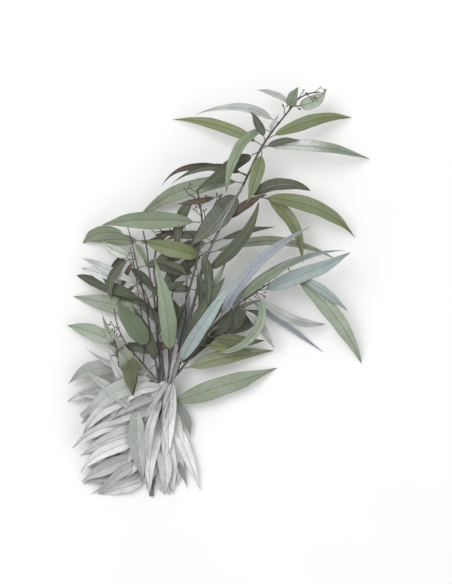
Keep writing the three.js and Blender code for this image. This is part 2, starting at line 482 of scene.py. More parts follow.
def turned(across: Array, face: Array, angles: Array) -> tuple[Array, Array]:
    """Turns two square directions about the third.

    Args:
        across: Directions across a leaf, one in each row.
        face: Directions out of its face.
        angles: How far to turn each row, in radians.

    Returns:
        The turned directions across and out of the face.
    """
    cosine, sine = np.cos(angles)[:, None], np.sin(angles)[:, None]
    return across * cosine + face * sine, face * cosine - across * sine


def hump(shares: Array) -> Array:
    """Parabola that runs from 0 over 1 at a half to 0."""
    return 4 * shares * (1 - shares)


def smooth(values: Array, low: float, high: float) -> Array:
    """Smooth step from 0 at the low value to 1 at the high one."""
    share = np.clip((values - low) / (high - low), 0, 1)
    return share**2 * (3 - 2 * share)


OVERSAMPLING = 6


def smooth_rows(rows: Array, count: int) -> Array:
    """Rows on a smooth curve through given rows, evenly spaced by the length of their first three numbers.

    Args:
        rows: A point in each row, with any other values after it.
        count: How many rows to give.

    Returns:
        The new rows.
    """
    spans = len(rows) - 1
    padded = np.vstack((2 * rows[0] - rows[1], rows, 2 * rows[-1] - rows[-2]))
    place = np.linspace(0, spans, OVERSAMPLING * count)
    first = np.minimum(place.astype(int), spans - 1)
    f = (place - first)[:, None]
    a, b, c, d = (padded[first + i] for i in range(4))
    fine = 0.5 * (2 * b + (c - a) * f + (2 * a - 5 * b + 4 * c - d) * f**2 + (3 * b - a - 3 * c + d) * f**3)
    reach = np.concatenate(([0.0], np.cumsum(np.linalg.norm(np.diff(fine[:, :3], axis=0), axis=1))))
    even = np.linspace(0, reach[-1], count)
    return np.column_stack([np.interp(even, reach, column) for column in fine.T])


def read_rings(solid: bpy.types.Object, sides: int) -> list[Array]:
    """Reads a frame solid ring by ring, from one pole to the other.

    Args:
        solid: A rod or a spindle of the frame.
        sides: How many sides it has, and so how many edges meet at a pole.

    Returns:
        The corners of each ring, a pole being a ring of one.
    """
    copy = bmesh.new()
    copy.from_mesh(solid.data)
    bmesh.ops.remove_doubles(copy, verts=copy.verts, dist=WELD)
    poles = [v for v in copy.verts if len(v.link_edges) == sides]
    rings = [[poles[0]]]
    seen = {poles[0]}
    while rings[-1]:
        near = {e.other_vert(v) for v in rings[-1] for e in v.link_edges} - seen
        seen |= near
        rings.append(sorted(near, key=lambda v: tuple(v.co)))
    corners = [np.array([tuple(v.co) for v in ring]) for ring in rings[:-1]]
    copy.free()
    return corners


@dataclass
class Path:
    """A line through space, foot first."""

    points: Array

    SHORT_STEPS = 200

    def __post_init__(self) -> None:
        """Measures the line."""
        steps = np.linalg.norm(np.diff(self.points, axis=0), axis=1)
        self.reach = np.concatenate(([0.0], np.cumsum(steps)))

    @property
    def length(self) -> float:
        """The line's length."""
        return float(self.reach[-1])

    def place(self, distance: float) -> Array:
        """The point a distance from the foot."""
        return np.array([np.interp(distance, self.reach, column) for column in self.points.T])

    def along(self, distance: float) -> Array:
        """The direction in which the line runs, a distance from the foot."""
        step = self.length / self.SHORT_STEPS
        return unit(self.place(distance + step) - self.place(distance - step))

    def nearest(self, point: Array) -> tuple[float, float]:
        """Distance from the foot of the line's nearest point, and how far off that point is."""
        gaps = np.linalg.norm(self.points - point, axis=1)
        return float(self.reach[gaps.argmin()]), float(gaps.min())


# ---------------------------------------------------------------------------------------------------------
# Finishes.


class Tone(Enum):
    """The record's slots: the bark, and the shades that the leaves are dyed and dried to."""

    BARK = "bark"
    SAGE = "sage_leaf"
    GREEN = "green_leaf"
    DARK = "dark_leaf"
    BROWN = "brown_leaf"
    SILVER = "silver_leaf"
    BLUE = "blue_leaf"
    LILAC = "lilac_leaf"


def new_material(name: str) -> tuple[bpy.types.Material, Tree]:
    """Makes a material with an empty node tree.

    Args:
        name: The material's name.

    Returns:
        The material and its tree.
    """
    material = bpy.data.materials.new(name)
    material.use_nodes = True
    material.node_tree.nodes.clear()
    return material, Tree(material.node_tree)


@dataclass(frozen=True)
class Slope:
    """A share that goes smoothly from 0 to its top while a value goes from low to high."""

    low: float
    high: float
    top: float = 1.0

    def up(self, value: Sock) -> Sock:
        """The share, which climbs with the value."""
        return value.step(self.low, self.high) * self.top

    def down(self, value: Sock) -> Sock:
        """The share turned round, which falls as the value climbs."""
        return (1.0 - value.step(self.low, self.high)) * self.top


@dataclass(frozen=True)
class Span:
    """A range, from which a share from 0 to 1 picks a number."""

    least: float
    most: float

    def at(self, share: Sock) -> Sock:
        """The number that the share picks."""
        return share * (self.most - self.least) + self.least


@dataclass(frozen=True)
class Grain:
    """Noise that is drawn out. "close" is how near together its waves lie in each of three directions."""

    close: tuple[float, float, float]
    scale: float = 1.0
    detail: float = 3.0

    def at(self, *place: Sock) -> Sock:
        """The noise at a place, which is given as three numbers."""
        tree = place[0].tree
        return tree.noise(tree.join(*(p * c for p, c in zip(place, self.close))), self.scale, self.detail)


@dataclass(frozen=True)
class Skin:
    """How a surface takes light: its range of roughness, the depth of its relief in metres, and its shine."""

    roughness: Span
    relief: float
    shine: float

    def end(self, tree: Tree, base: Sock, rough: Sock, height: Sock) -> None:
        """Puts the one shader at the end of a material's tree.

        Args:
            tree: The material's tree.
            base: Its colour.
            rough: How rough it is within its range, from 0 to 1.
            height: Height of its relief, as a share of the depth.
        """
        bump = tree.add("ShaderNodeBump", inputs={"Height": height, "Distance": self.relief, "Strength": 1.0})
        inputs = {"Base Color": base, "Roughness": self.roughness.at(rough), "Normal": bump}
        shader = tree.add("ShaderNodeBsdfPrincipled", inputs=inputs | {"Specular IOR Level": self.shine})
        tree.add("ShaderNodeOutputMaterial", inputs={"Surface": shader})


@dataclass(frozen=True)
class LeafFinish:
    """How one tone of leaf is dyed, veined, frosted, worn and given painted shade.

    A leaf carries "blade" (share along, share across from -1 to 1, +1 above and -1 below), "reach" (metres
    along, metres across, the leaf's own lot from 0 to 1) and "bloom" (how frosted and how dark it is, and how
    much of that frost is gone by the tip).
    """

    tone: Tone
    blade: Colour
    patch: Colour
    deep: Colour
    dusk: Colour
    under: Colour
    rib: Colour
    margin: Colour
    frost: Colour
    frosting: float = 0.25
    roughness: float = 0.55
    stripes: float = 0.25
    stalk: Colour = colour("6f5f58")
    wax: Colour = colour("e8eae8")

    # Noises, as waves in a metre and finer layers, and how far apart two leaves and two faces lie in them.
    CLOUD, MOTTLE, SPECK, FINE = (48.0, 3.0), (230.0, 4.0), (620.0, 1.0), (2600.0, 2.0)
    STREAK = Grain((14.0, 620.0, 31.0))
    LEAVES_APART, FACES_APART = 0.9, 0.02
    UPPER_FACE = Slope(-0.15, 0.15)

    # The midrib and the side veins.
    OFF_RIB, RIB_FADES = Slope(0.1925 * MM, 0.605 * MM), Slope(0.8, 1.0, 0.7)
    VEIN_GAP, VEIN_SLANT, VEIN_WANDER = 3.2 * MM, 1.25, 1.3
    OFF_VEIN, VEINS_END = Slope(0.0, 0.3, 0.8), Slope(0.78, 0.88)
    LINK_AT, OFF_LINK = 0.87, Slope(0.0, 0.035, 0.6)
    RIB_STRENGTH, VEIN_STRENGTH = 0.8, 0.22

    # The dye, the frost on it, and painted shade.
    PATCHED, STRIPED, MOTTLED = Slope(0.36, 0.64), Slope(0.46, 0.66), Slope(0.5, 0.72, 0.3)
    FROSTED, FROST_ON_FACE, WAX_IN_FROST = Slope(0.42, 0.6), Span(0.6, 1.0), Span(0.7, 1.0)
    WAX_FADES = Slope(0.28, 0.62)
    UNDER_STRENGTH = 0.6
    # Painted shade: one half of the blade darker, as on a folded leaf, and the foot darker, as under the
    # leaves above.
    DEEP_SIDE, DEEP_FOOT = Slope(-0.12, 0.12, 0.3), Slope(0.08, 0.5, 0.21)

    # Wear.
    WORN_EDGE, DRY_TIP, DRY_RAGGED = Slope(0.9, 0.99, 0.65), Slope(0.93, 1.04, 0.7), 0.12
    STALK_ENDS, SPECKLED = Slope(0.05, 0.13, 0.75), Slope(0.7, 0.76, 0.45)

    # How much leaves of one tone differ from one another.
    HUE, SATURATION, VALUE = Span(0.488, 0.512), Span(0.88, 1.12), Span(0.87, 1.13)
    SIDE_LOT, VALUE_LOT = 3.7, 7.3
    ROUGHNESS_SPREAD, RIB_SMOOTHNESS = 0.08, 0.5

    # The relief's depth, and the share of it that each of its parts takes.
    RELIEF, SHINE = 0.35 * MM, 0.32
    VEINS_RISE, STREAKS_RISE, MOTTLE_RISES, FINE_RISES, RIB_SINKS = 0.22, 0.16, 0.12, 0.1, 0.5

    def make(self) -> bpy.types.Material:
        """Builds the material.

        Returns:
            The material.
        """
        material, tree = new_material(self.tone.value)
        share, side, top = tree.carried("blade").parts()
        along, across, lot = tree.carried("reach").parts()
        waxed, darkness, fading = tree.carried("bloom").parts()
        edge, away = side.of("ABSOLUTE"), across.of("ABSOLUTE")
        above = self.UPPER_FACE.up(top)
        place = tree.join(along, across, lot * self.LEAVES_APART + above * self.FACES_APART)
        cloud, mottle, fine = (tree.noise(place, *size) for size in (self.CLOUD, self.MOTTLE, self.FINE))
        streak = self.STREAK.at(along, across, lot)
        rib = self.OFF_RIB.down(away) * (1.0 - self.RIB_FADES.up(share))
        veins = self._veins(along, away, edge, cloud)
        shade = self._dye(tree, cloud, mottle, streak)
        waxed = waxed * (1.0 - fading * self.WAX_FADES.up(share))
        shade = self._frost(tree, shade, (mottle + cloud) * 0.5, above, waxed)
        # Painted shade: one half of the blade, as strongly as the leaf's lot says, and its foot are darkened
        # towards the deep colour.
        painted_shade = self.DEEP_SIDE.up(side) * (lot * self.SIDE_LOT).of("FRACT") + self.DEEP_FOOT.down(share)
        shade = tree.mix(painted_shade, shade, self.deep)
        shade = tree.mix(darkness, shade, self.dusk)
        shade = tree.mix(veins * self.VEIN_STRENGTH, shade, self.rib)
        shade = tree.mix(rib * self.RIB_STRENGTH, shade, self.rib)
        shade = self._wear(tree, shade, share, edge, mottle, place)
        inputs = {"Hue": self.HUE.at(lot), "Saturation": self.SATURATION.at(lot), "Color": shade}
        inputs |= {"Value": self.VALUE.at((lot * self.VALUE_LOT).of("FRACT"))}
        shade = tree.add("ShaderNodeHueSaturation", inputs=inputs)
        roughness = Span(self.roughness - self.ROUGHNESS_SPREAD, self.roughness + self.ROUGHNESS_SPREAD)
        height = veins * self.VEINS_RISE + streak * self.STREAKS_RISE + mottle * self.MOTTLE_RISES
        height = height + fine * self.FINE_RISES - rib * self.RIB_SINKS
        skin = Skin(roughness, self.RELIEF, self.SHINE)
        skin.end(tree, shade, mottle - rib * self.RIB_SMOOTHNESS, height)
        return material

    def _veins(self, along: Sock, away: Sock, edge: Sock, cloud: Sock) -> Sock:
        """Side veins that run forward from the midrib, and the vein that links them inside the margin.

        Args:
            along: Metres along the leaf.
            away: Metres from the midrib.
            edge: Share of the way from the midrib to the margin.
            cloud: Slow noise that keeps the veins from running true.

        Returns:
            The veins' strength, and 0 between them.
        """
        turn = (along - away * self.VEIN_SLANT) / self.VEIN_GAP + cloud * self.VEIN_WANDER
        off_vein = (turn * math.pi).of("SINE").of("ABSOLUTE")
        side_veins = self.OFF_VEIN.down(off_vein) * self.VEINS_END.down(edge)
        return side_veins + self.OFF_LINK.down((edge - self.LINK_AT).of("ABSOLUTE"))

    def _dye(self, tree: Tree, cloud: Sock, mottle: Sock, streak: Sock) -> Sock:
        """The dyed blade with its patches and stripes.

        Args:
            tree: The material's tree.
            cloud: Slow noise.
            mottle: Middling noise.
            streak: Noise drawn out along the leaf.

        Returns:
            The colour.
        """
        shade = tree.mix(self.PATCHED.up(cloud), self.blade, self.patch)
        shade = tree.mix(self.STRIPED.up(streak) * self.stripes, shade, self.deep)
        return tree.mix(self.MOTTLED.up(mottle), shade, self.deep)

    def _frost(self, tree: Tree, shade: Sock, noise: Sock, above: Sock, waxed: Sock) -> Sock:
        """The frost of its tone, the leaf's own pale wax, and the paler underside.

        Args:
            tree: The material's tree.
            shade: The colour so far.
            noise: What the frost's patches follow.
            above: 1 on the upper face and 0 on the underside.
            waxed: How waxy this leaf is, from 0 to 1.

        Returns:
            The colour.
        """
        frost = self.FROSTED.up(noise) * self.FROST_ON_FACE.at(above)
        shade = tree.mix(frost * self.frosting, shade, self.frost)
        shade = tree.mix(waxed * self.WAX_IN_FROST.at(frost), shade, self.wax)
        return tree.mix((1.0 - above) * self.UNDER_STRENGTH, shade, self.under)

    def _wear(self, tree: Tree, shade: Sock, share: Sock, edge: Sock, mottle: Sock, place: Sock) -> Sock:
        """Darkened margins, a dried tip, a brown stalk and small specks.

        Args:
            tree: The material's tree.
            shade: The colour so far.
            share: Share of the way from the foot to the tip.
            edge: Share of the way from the midrib to the margin.
            mottle: Middling noise.
            place: Where to read the noise of the specks.

        Returns:
            The colour.
        """
        shade = tree.mix(self.WORN_EDGE.up(edge), shade, self.margin)
        shade = tree.mix(self.DRY_TIP.up(share + mottle * self.DRY_RAGGED), shade, self.margin)
        shade = tree.mix(self.STALK_ENDS.down(share), shade, self.stalk)
        return tree.mix(self.SPECKLED.up(tree.noise(place, *self.SPECK)), shade, self.margin)


LEAF_FINISHES = (
    LeafFinish(
        Tone.SAGE, blade=colour("8a937b"), patch=colour("829078"), deep=colour("6f7c66"),
        dusk=colour("68725f"), under=colour("9ca495"), rib=colour("616b58"), margin=colour("72745f"),
        frost=colour("adb5a9"), frosting=0.3,
    ),
    LeafFinish(
        Tone.GREEN, blade=colour("828763"), patch=colour("798462"), deep=colour("646c4c"),
        dusk=colour("5c6347"), under=colour("969b81"), rib=colour("565c43"), margin=colour("6a6346"),
        frost=colour("a2ab95"), frosting=0.22,
    ),
    LeafFinish(
        Tone.DARK, blade=colour("595d4a"), patch=colour("50584a"), deep=colour("414538"),
        dusk=colour("363a30"), under=colour("747968"), rib=colour("7a7d69"), margin=colour("473f31"),
        frost=colour("7e867c"), frosting=0.2,
    ),
    LeafFinish(
        Tone.BROWN, blade=colour("594c3e"), patch=colour("4f493c"), deep=colour("41362c"),
        dusk=colour("372e26"), under=colour("6f6555"), rib=colour("7d6f5c"), margin=colour("3d3027"),
        frost=colour("76706a"), frosting=0.2, roughness=0.62,
    ),
    LeafFinish(
        Tone.SILVER, blade=colour("b1b4b0"), patch=colour("bcbfbc"), deep=colour("90958f"),
        dusk=colour("7c807a"), under=colour("c3c5c2"), rib=colour("8f948d"), margin=colour("a0a099"),
        frost=colour("dcdedd"), frosting=0.34, roughness=0.62,
    ),
    LeafFinish(
        Tone.BLUE, blade=colour("9fabaa"), patch=colour("97a6a2"), deep=colour("83928f"),
        dusk=colour("768482"), under=colour("b0b8b7"), rib=colour("7d8a8c"), margin=colour("898c83"),
        frost=colour("b6c0c3"), frosting=0.5, stripes=0.45,
    ),
    LeafFinish(
        Tone.LILAC, blade=colour("a2a5ae"), patch=colour("9aa3a6"), deep=colour("878b96"),
        dusk=colour("787c86"), under=colour("b0b3ba"), rib=colour("838792"), margin=colour("8b8988"),
        frost=colour("b8bdc7"), frosting=0.5, stripes=0.55,
    ),
)


@dataclass(frozen=True)
class BarkFinish:
    """Dull bark that runs from a purplish grey on the stem to near black on thin twigs.

    Wood carries "turn" (a unit circle round the twig) and "grown" (metres along, radius, share along).
    """

    name: str = "bark"
    thick: Colour = colour("6c6568")
    thin: Colour = colour("463d3b")
    ridge: Colour = colour("8b8587")
    crack: Colour = colour("3d332f")
    lichen: Colour = colour("9a9797")
    skin: Skin = Skin(Span(0.68, 0.88), relief=0.4 * MM, shine=0.25)

    RIDGES, FLAKES = Grain((2.2, 2.2, 75.0), 1.6, 4.0), Grain((1.0, 1.0, 240.0), 1.4)
    PATCHES, PORES = Grain((0.6, 0.6, 26.0), 1.0, 2.0), Grain((3.0, 3.0, 520.0), 1.0, 1.0)
    IS_THICK, IS_RIDGE, IS_CRACK = Slope(0.8 * MM, 2.4 * MM), Slope(0.48, 0.68, 0.55), Slope(0.3, 0.45, 0.7)
    IS_LICHEN, IS_PORE = Slope(0.52, 0.7, 0.4), Slope(0.62, 0.7, 0.6)
    RIDGES_RISE, FLAKES_RISE, PORES_SINK = 0.8, 0.35, 0.5

    def make(self) -> bpy.types.Material:
        """Builds the material.

        Returns:
            The material.
        """
        material, tree = new_material(self.name)
        x, y, _ = tree.carried("turn").parts()
        along, radius, _ = tree.carried("grown").parts()
        ridges, flakes = self.RIDGES.at(x, y, along), self.FLAKES.at(x, y, along)
        pores = self.IS_PORE.up(self.PORES.at(x, y, along))
        shade = tree.mix(self.IS_THICK.up(radius), self.thin, self.thick)
        shade = tree.mix(self.IS_RIDGE.up(ridges), shade, self.ridge)
        shade = tree.mix(self.IS_LICHEN.up(self.PATCHES.at(x, y, along)), shade, self.lichen)
        shade = tree.mix(self.IS_CRACK.down(ridges), shade, self.crack)
        shade = tree.mix(pores, shade, self.crack)
        height = ridges * self.RIDGES_RISE + flakes * self.FLAKES_RISE - pores * self.PORES_SINK
        self.skin.end(tree, shade, flakes, height)
        return material


@dataclass(frozen=True)
class FibreFinish:
    """Fine fibres of dried bark, smoother than the bark itself."""

    name: str
    pale: Colour
    dull: Colour
    skin: Skin = Skin(Span(0.42, 0.67), relief=0.05 * MM, shine=0.4)

    STREAKS = Grain((0.7, 0.7, 70.0))
    IS_DULL = Slope(0.42, 0.64)

    def make(self) -> bpy.types.Material:
        """Builds the material.

        Returns:
            The material.
        """
        material, tree = new_material(self.name)
        x, y, _ = tree.carried("turn").parts()
        along, _, _ = tree.carried("grown").parts()
        streaks = self.STREAKS.at(x, y, along)
        self.skin.end(tree, tree.mix(self.IS_DULL.up(streaks), self.pale, self.dull), streaks, streaks)
        return material


@dataclass(frozen=True)
class BudFinish:
    """Dried flower buds, dull brown with a grey bloom on their caps. A bud carries "bud", its unit ball."""

    name: str = "dried_bud"
    cap: Colour = colour("6b5a4c")
    cup: Colour = colour("4c4239")
    bloom: Colour = colour("857e74")
    skin: Skin = Skin(Span(0.55, 0.75), relief=0.2 * MM, shine=0.3)

    SPECKLE = (1500.0, 3.0)
    IS_CAP, IS_BLOOM = Slope(-0.1, 0.25), Slope(0.45, 0.62, 0.5)

    def make(self) -> bpy.types.Material:
        """Builds the material.

        Returns:
            The material.
        """
        material, tree = new_material(self.name)
        _, _, height = tree.carried("bud").parts()
        speckle = tree.noise(tree.add("ShaderNodeTexCoord", output="Object"), *self.SPECKLE)
        shade = tree.mix(self.IS_CAP.up(height), self.cup, self.cap)
        shade = tree.mix(self.IS_BLOOM.up(speckle), shade, self.bloom)
        self.skin.end(tree, shade, speckle, speckle)
        return material


@dataclass(frozen=True)
class CutWoodFinish:
    """The sawn face of the stem: pale wood in rings round a dark pith, inside a rim of bark.

    It carries "rings" (two numbers for the place on a unit disc, and the share of the way to its rim).
    """

    name: str = "cut_wood"
    wood: Colour = colour("c9b695")
    ring: Colour = colour("a88e6a")
    pith: Colour = colour("7a6048")
    rim: Colour = colour("5d534d")
    years: float = 5.0
    skin: Skin = Skin(Span(0.7, 0.9), relief=0.15 * MM, shine=0.3)

    RAYS, RING_WANDER, RING_HEIGHT = (9.0, 4.0), 0.7, 0.3
    IS_RING, IS_RAY = Slope(0.2, 0.9, 0.6), Slope(0.5, 0.7, 0.4)
    PITH_ENDS, IS_RIM = Slope(0.08, 0.16), Slope(0.84, 0.93)

    def make(self) -> bpy.types.Material:
        """Builds the material.

        Returns:
            The material.
        """
        material, tree = new_material(self.name)
        x, y, share = tree.carried("rings").parts()
        rays = tree.noise(tree.join(x, y, 0.0), *self.RAYS)
        wave = ((share * self.years + rays * self.RING_WANDER) * FULL_TURN).of("SINE")
        shade = tree.mix(self.IS_RING.up(wave), self.wood, self.ring)
        shade = tree.mix(self.IS_RAY.up(rays), shade, self.ring)
        shade = tree.mix(self.PITH_ENDS.down(share), shade, self.pith)
        shade = tree.mix(self.IS_RIM.up(share), shade, self.rim)
        self.skin.end(tree, shade, rays, wave * self.RING_HEIGHT + rays)
        return material


@dataclass(frozen=True)
class FloorFinish:
    """A plain pale floor with the faintest tooth."""

    name: str = "pale_floor"
    pale: Colour = colour("f7f7f6")
    paler: Colour = colour("fbfbfb")
    skin: Skin = Skin(Span(0.85, 0.9), relief=0.02 * MM, shine=0.2)

    CLOUD, TOOTH = (3.0, 2.0), (900.0, 2.0)
    IS_PALER = Slope(0.3, 0.7)

    def make(self) -> bpy.types.Material:
        """Builds the material.

        Returns:
            The material.
        """
        material, tree = new_material(self.name)
        place = tree.add("ShaderNodeTexCoord", output="Object")
        cloud, tooth = tree.noise(place, *self.CLOUD), tree.noise(place, *self.TOOTH)
        self.skin.end(tree, tree.mix(self.IS_PALER.up(cloud), self.pale, self.paler), tooth, tooth)
        return material


# ---------------------------------------------------------------------------------------------------------
# Twigs and wood.


@dataclass
class Twig:
    """A length of wood with its centre line, foot first, and its radius along that line."""

    name: str
    path: Path
    radii: Array
    joints: list[float] = field(default_factory=list)

    SIDES = 8
    POINTS = 120
    ROOT_FLARE = 1.3
    ROOT_START = 0.3
    BENT_POINTS, BENT_SAG, BENT_TAPER = 9, 0.2, 0.75

    @classmethod
    def from_frame(cls, name: str) -> "Twig":
        """Reads a twig back from its frame solid.

        Args:
            name: The frame's node.

        Returns:
            The twig.
        """
        rings = read_rings(frame["nodes"][name], cls.SIDES)[1:-1]
        centres = np.array([ring.mean(axis=0) for ring in rings])
        radii = np.array([np.linalg.norm(r - c, axis=1).mean() for r, c in zip(rings, centres)])
        if radii[0] < radii[-1]:
            centres, radii = centres[::-1], radii[::-1]
        rows = smooth_rows(np.column_stack((centres, radii)), cls.POINTS)
        return cls(name, Path(rows[:, :3]), rows[:, 3])

    @classmethod
    def bent(
        cls, name: str, foot: Array, way: Array, long: float, radius: float, chance: np.random.Generator
    ) -> "Twig":
        """Grows a short twiglet that bends a little on its way.

        Args:
            name: Its name.
            foot: Where it starts.
            way: The way that it sets off.
            long: Its length.
            radius: Its radius at the foot.
            chance: The source of chance.

        Returns:
            The twiglet.
        """
        share = np.linspace(0, 1, cls.BENT_POINTS)[:, None]
        sag = chance.uniform(-cls.BENT_SAG, cls.BENT_SAG, 3) * long
        radii = np.linspace(radius, radius * cls.BENT_TAPER, cls.BENT_POINTS)
        return cls(name, Path(foot + way * long * share + sag * share**2), radii)

    def radius_at(self, distance: float) -> float:
        """The wood's radius, a distance from its foot."""
        return float(np.interp(distance, self.path.reach, self.radii))

    def gap(self, point: Array) -> float:
        """How far the bark is from a point."""
        at, off = self.path.nearest(point)
        return off - self.radius_at(at)

    def foot_beside(self, at: float, heading: Array, depth: float) -> Array:
        """Where a side piece starts.

        Args:
            at: Distance from this twig's foot.
            heading: The way that the side piece goes.
            depth: How far inside the bark it starts, or outside if negative.

        Returns:
            The point, on the side that the piece heads for.
        """
        self.joints.append(at)
        along = self.path.along(at)
        out = unit(heading - along * np.dot(heading, along))
        return self.path.place(at) + out * (self.radius_at(at) - depth)

    def root_on(self, others: Iterable["Twig"]) -> None:
        """Lengthens the foot into the wood of the nearest other twig, a little wider there.

        Args:
            others: The twigs to choose from.
        """
        foot = self.path.points[0]
        near = min((t for t in others if t is not self), key=lambda t: t.path.nearest(foot)[1])
        at, _ = near.path.nearest(foot)
        near.joints.append(at)
        root = near.path.place(at)
        self.path = Path(np.vstack((root + self.ROOT_START * (foot - root), self.path.points)))
        self.radii = np.concatenate((self.radii[:1] * self.ROOT_FLARE, self.radii))


@dataclass(frozen=True)
class Sprout:
    """A thin twig that the frame leaves out, with a given route.

    The route's points are millimetres from the foot of the stem, seen from above, with heights over the
    surface. The first point lies inside the wood of the twig that it grows from.
    """

    name: str
    route: tuple[tuple[float, float, float], ...]
    foot_radius: float = 0.9
    tip_radius: float = 0.45

    POINTS = 60
    SWAY, SWAY_TURNS, SWAY_RISE = 1.1, 16, 0.5

    def grown(self, origin: Array) -> Twig:
        """Grows the twig.

        Args:
            origin: The foot of the stem on the surface, in the frame.

        Returns:
            The twig.
        """
        rows = smooth_rows(np.array(self.route) * MM + origin, self.POINTS)
        share = np.linspace(0, 1, self.POINTS)
        sway = self.SWAY * MM * np.sin(np.pi * share) * np.sin(share * self.SWAY_TURNS + self.route[-1][0])
        rows[:, 0] += sway
        rows[:, 2] += self.SWAY_RISE * sway
        radii = np.linspace(self.foot_radius, self.tip_radius, self.POINTS) * MM
        return Twig(self.name, Path(rows), radii)


@dataclass
class Woodwork:
    """Makes the visible wood of twigs on their centre lines."""

    sides: int = 14
    swelling: float = 0.3
    swelling_length: float = 1.9 * MM
    ruggedness: float = 0.32
    knobs: Grain = Grain((1.0, 1.0, 90.0), 1.1)
    finish: bpy.types.Material = field(default_factory=lambda: BarkFinish().make())

    def __post_init__(self) -> None:
        """Builds the growing tree."""
        sizes = {"Sides": self.sides, "Ruggedness": self.ruggedness}
        tree, given = growing_tree("twig_wood", sizes)
        curve = tree.add("GeometryNodeMeshToCurve", inputs={"Mesh": given["Line"]})
        inputs = {"Resolution": given["Sides"], "Radius": 1.0}
        ring = tree.add("GeometryNodeCurvePrimitiveCircle", inputs=inputs)
        ring = tree.store(ring, "turn", tree.add("GeometryNodeInputPosition"))
        along, radius, _ = tree.stored("grown").parts()
        inputs = {"Curve": curve, "Profile Curve": ring, "Scale": radius, "Fill Caps": True}
        wood = tree.add("GeometryNodeCurveToMesh", inputs=inputs)
        x, y, _ = tree.stored("turn").parts()
        knobs = self.knobs.at(x, y, along) - 0.5
        out = tree.add("GeometryNodeInputNormal") * (knobs * radius * given["Ruggedness"])
        wood = tree.add("GeometryNodeSetPosition", inputs={"Geometry": wood, "Offset": out})
        self.tree = end_tree(tree, wood, given["Finish"])

    def _swollen(self, twig: Twig) -> Array:
        """The twig's radius, a little thicker where something grows from it.

        Args:
            twig: The twig.

        Returns:
            The radius at each point of its path.
        """
        reach = twig.path.reach
        bulges = [np.exp(-(((reach - at) / self.swelling_length) ** 2)) for at in twig.joints]
        return twig.radii * (1 + self.swelling * np.clip(sum(bulges, np.zeros_like(reach)), 0, 1))

    def _line(self, twigs: Sequence[Twig]) -> bpy.types.Mesh:
        """The mesh of lines from which wood grows.

        Args:
            twigs: The twigs.

        Returns:
            A line for each twig, which carries its reach, its radius and its share along.
        """
        reach = np.concatenate([t.path.reach for t in twigs])
        share = np.concatenate([t.path.reach / t.path.length for t in twigs])
        radii = np.concatenate([self._swollen(t) for t in twigs])
        return new_line([t.path.points for t in twigs], {"grown": np.column_stack((reach, radii, share))})

    def build(
        self,
        name: str,
        twigs: Sequence[Twig],
        node: str | None = None,
        finish: bpy.types.Material | None = None,
    ) -> bpy.types.Object:
        """Makes one piece of wood.

        Args:
            name: The piece's name.
            twigs: The twigs that it holds.
            node: The frame's node that it stands for.
            finish: Its material, where that isn't bark.

        Returns:
            The piece.
        """
        piece = grow(name, self._line(twigs), self.tree, {"Finish": finish or self.finish})
        set_on_body(piece, node)
        return piece


@dataclass
class CutEnd:
    """The sawn face at the foot of the stem: a low domed disc that closes it."""

    stem: Twig
    name: str = "stem_cut_end"
    thickness: float = 0.5 * MM
    dome: float = 0.06 * MM
    fit: float = 0.99
    rings: int = 6
    sides: int = 32

    def __post_init__(self) -> None:
        """Starts the mesh, and finds the face's middle and its three directions."""
        self.mesh = bmesh.new()
        self.layer = self.mesh.verts.layers.float_vector.new("rings")
        self.middle = self.stem.path.points[0]
        self.out = -self.stem.path.along(0.0)
        self.right = unit(np.cross(self.out, UP))
        self.high = np.cross(self.right, self.out)
        self.radius = float(self.stem.radii[0]) * self.fit

    def build(self) -> bpy.types.Object:
        """Makes the disc.

        Returns:
            The piece.
        """
        sizes = [(i + 1) / self.rings for i in range(self.rings)]
        front, back = ([self._ring(side, share) for share in sizes] for side in (1, -1))
        for discs in (front, back):
            for inner, outer in zip(discs, discs[1:]):
                self._bridge(inner, outer)
            self.mesh.faces.new(discs[0])
        self._bridge(front[-1], back[-1])
        bmesh.ops.recalc_face_normals(self.mesh, faces=self.mesh.faces)
        data = bpy.data.meshes.new(self.name)
        self.mesh.to_mesh(data)
        self.mesh.free()
        data.materials.append(CutWoodFinish().make())
        piece = in_scene(self.name, data)
        set_on_body(piece)
        return piece

    def _ring(self, side: int, share: float) -> list[bmesh.types.BMVert]:
        """One ring of corners, each of which carries its place on the face.

        Args:
            side: 1 for the outer side of the disc, -1 for the inner.
            share: Share of the way from the middle to the rim.

        Returns:
            The corners.
        """
        centre = self.middle + self.out * side * (self.thickness / 2 + self.dome * (1 - share**2))
        corners = []
        for angle in np.arange(self.sides) * FULL_TURN / self.sides:
            x, y = share * math.cos(angle), share * math.sin(angle)
            corner = self.mesh.verts.new(centre + self.radius * (self.right * x + self.high * y))
            corner[self.layer] = (x, y, share)
            corners.append(corner)
        return corners

    def _bridge(self, inner: list[bmesh.types.BMVert], outer: list[bmesh.types.BMVert]) -> None:
        """Joins two rings with faces.

        Args:
            inner: A ring.
            outer: The ring round it.
        """
        for k in range(self.sides):
            after = (k + 1) % self.sides
            self.mesh.faces.new((inner[k], outer[k], outer[after], inner[after]))


# ---------------------------------------------------------------------------------------------------------
# Leaves.


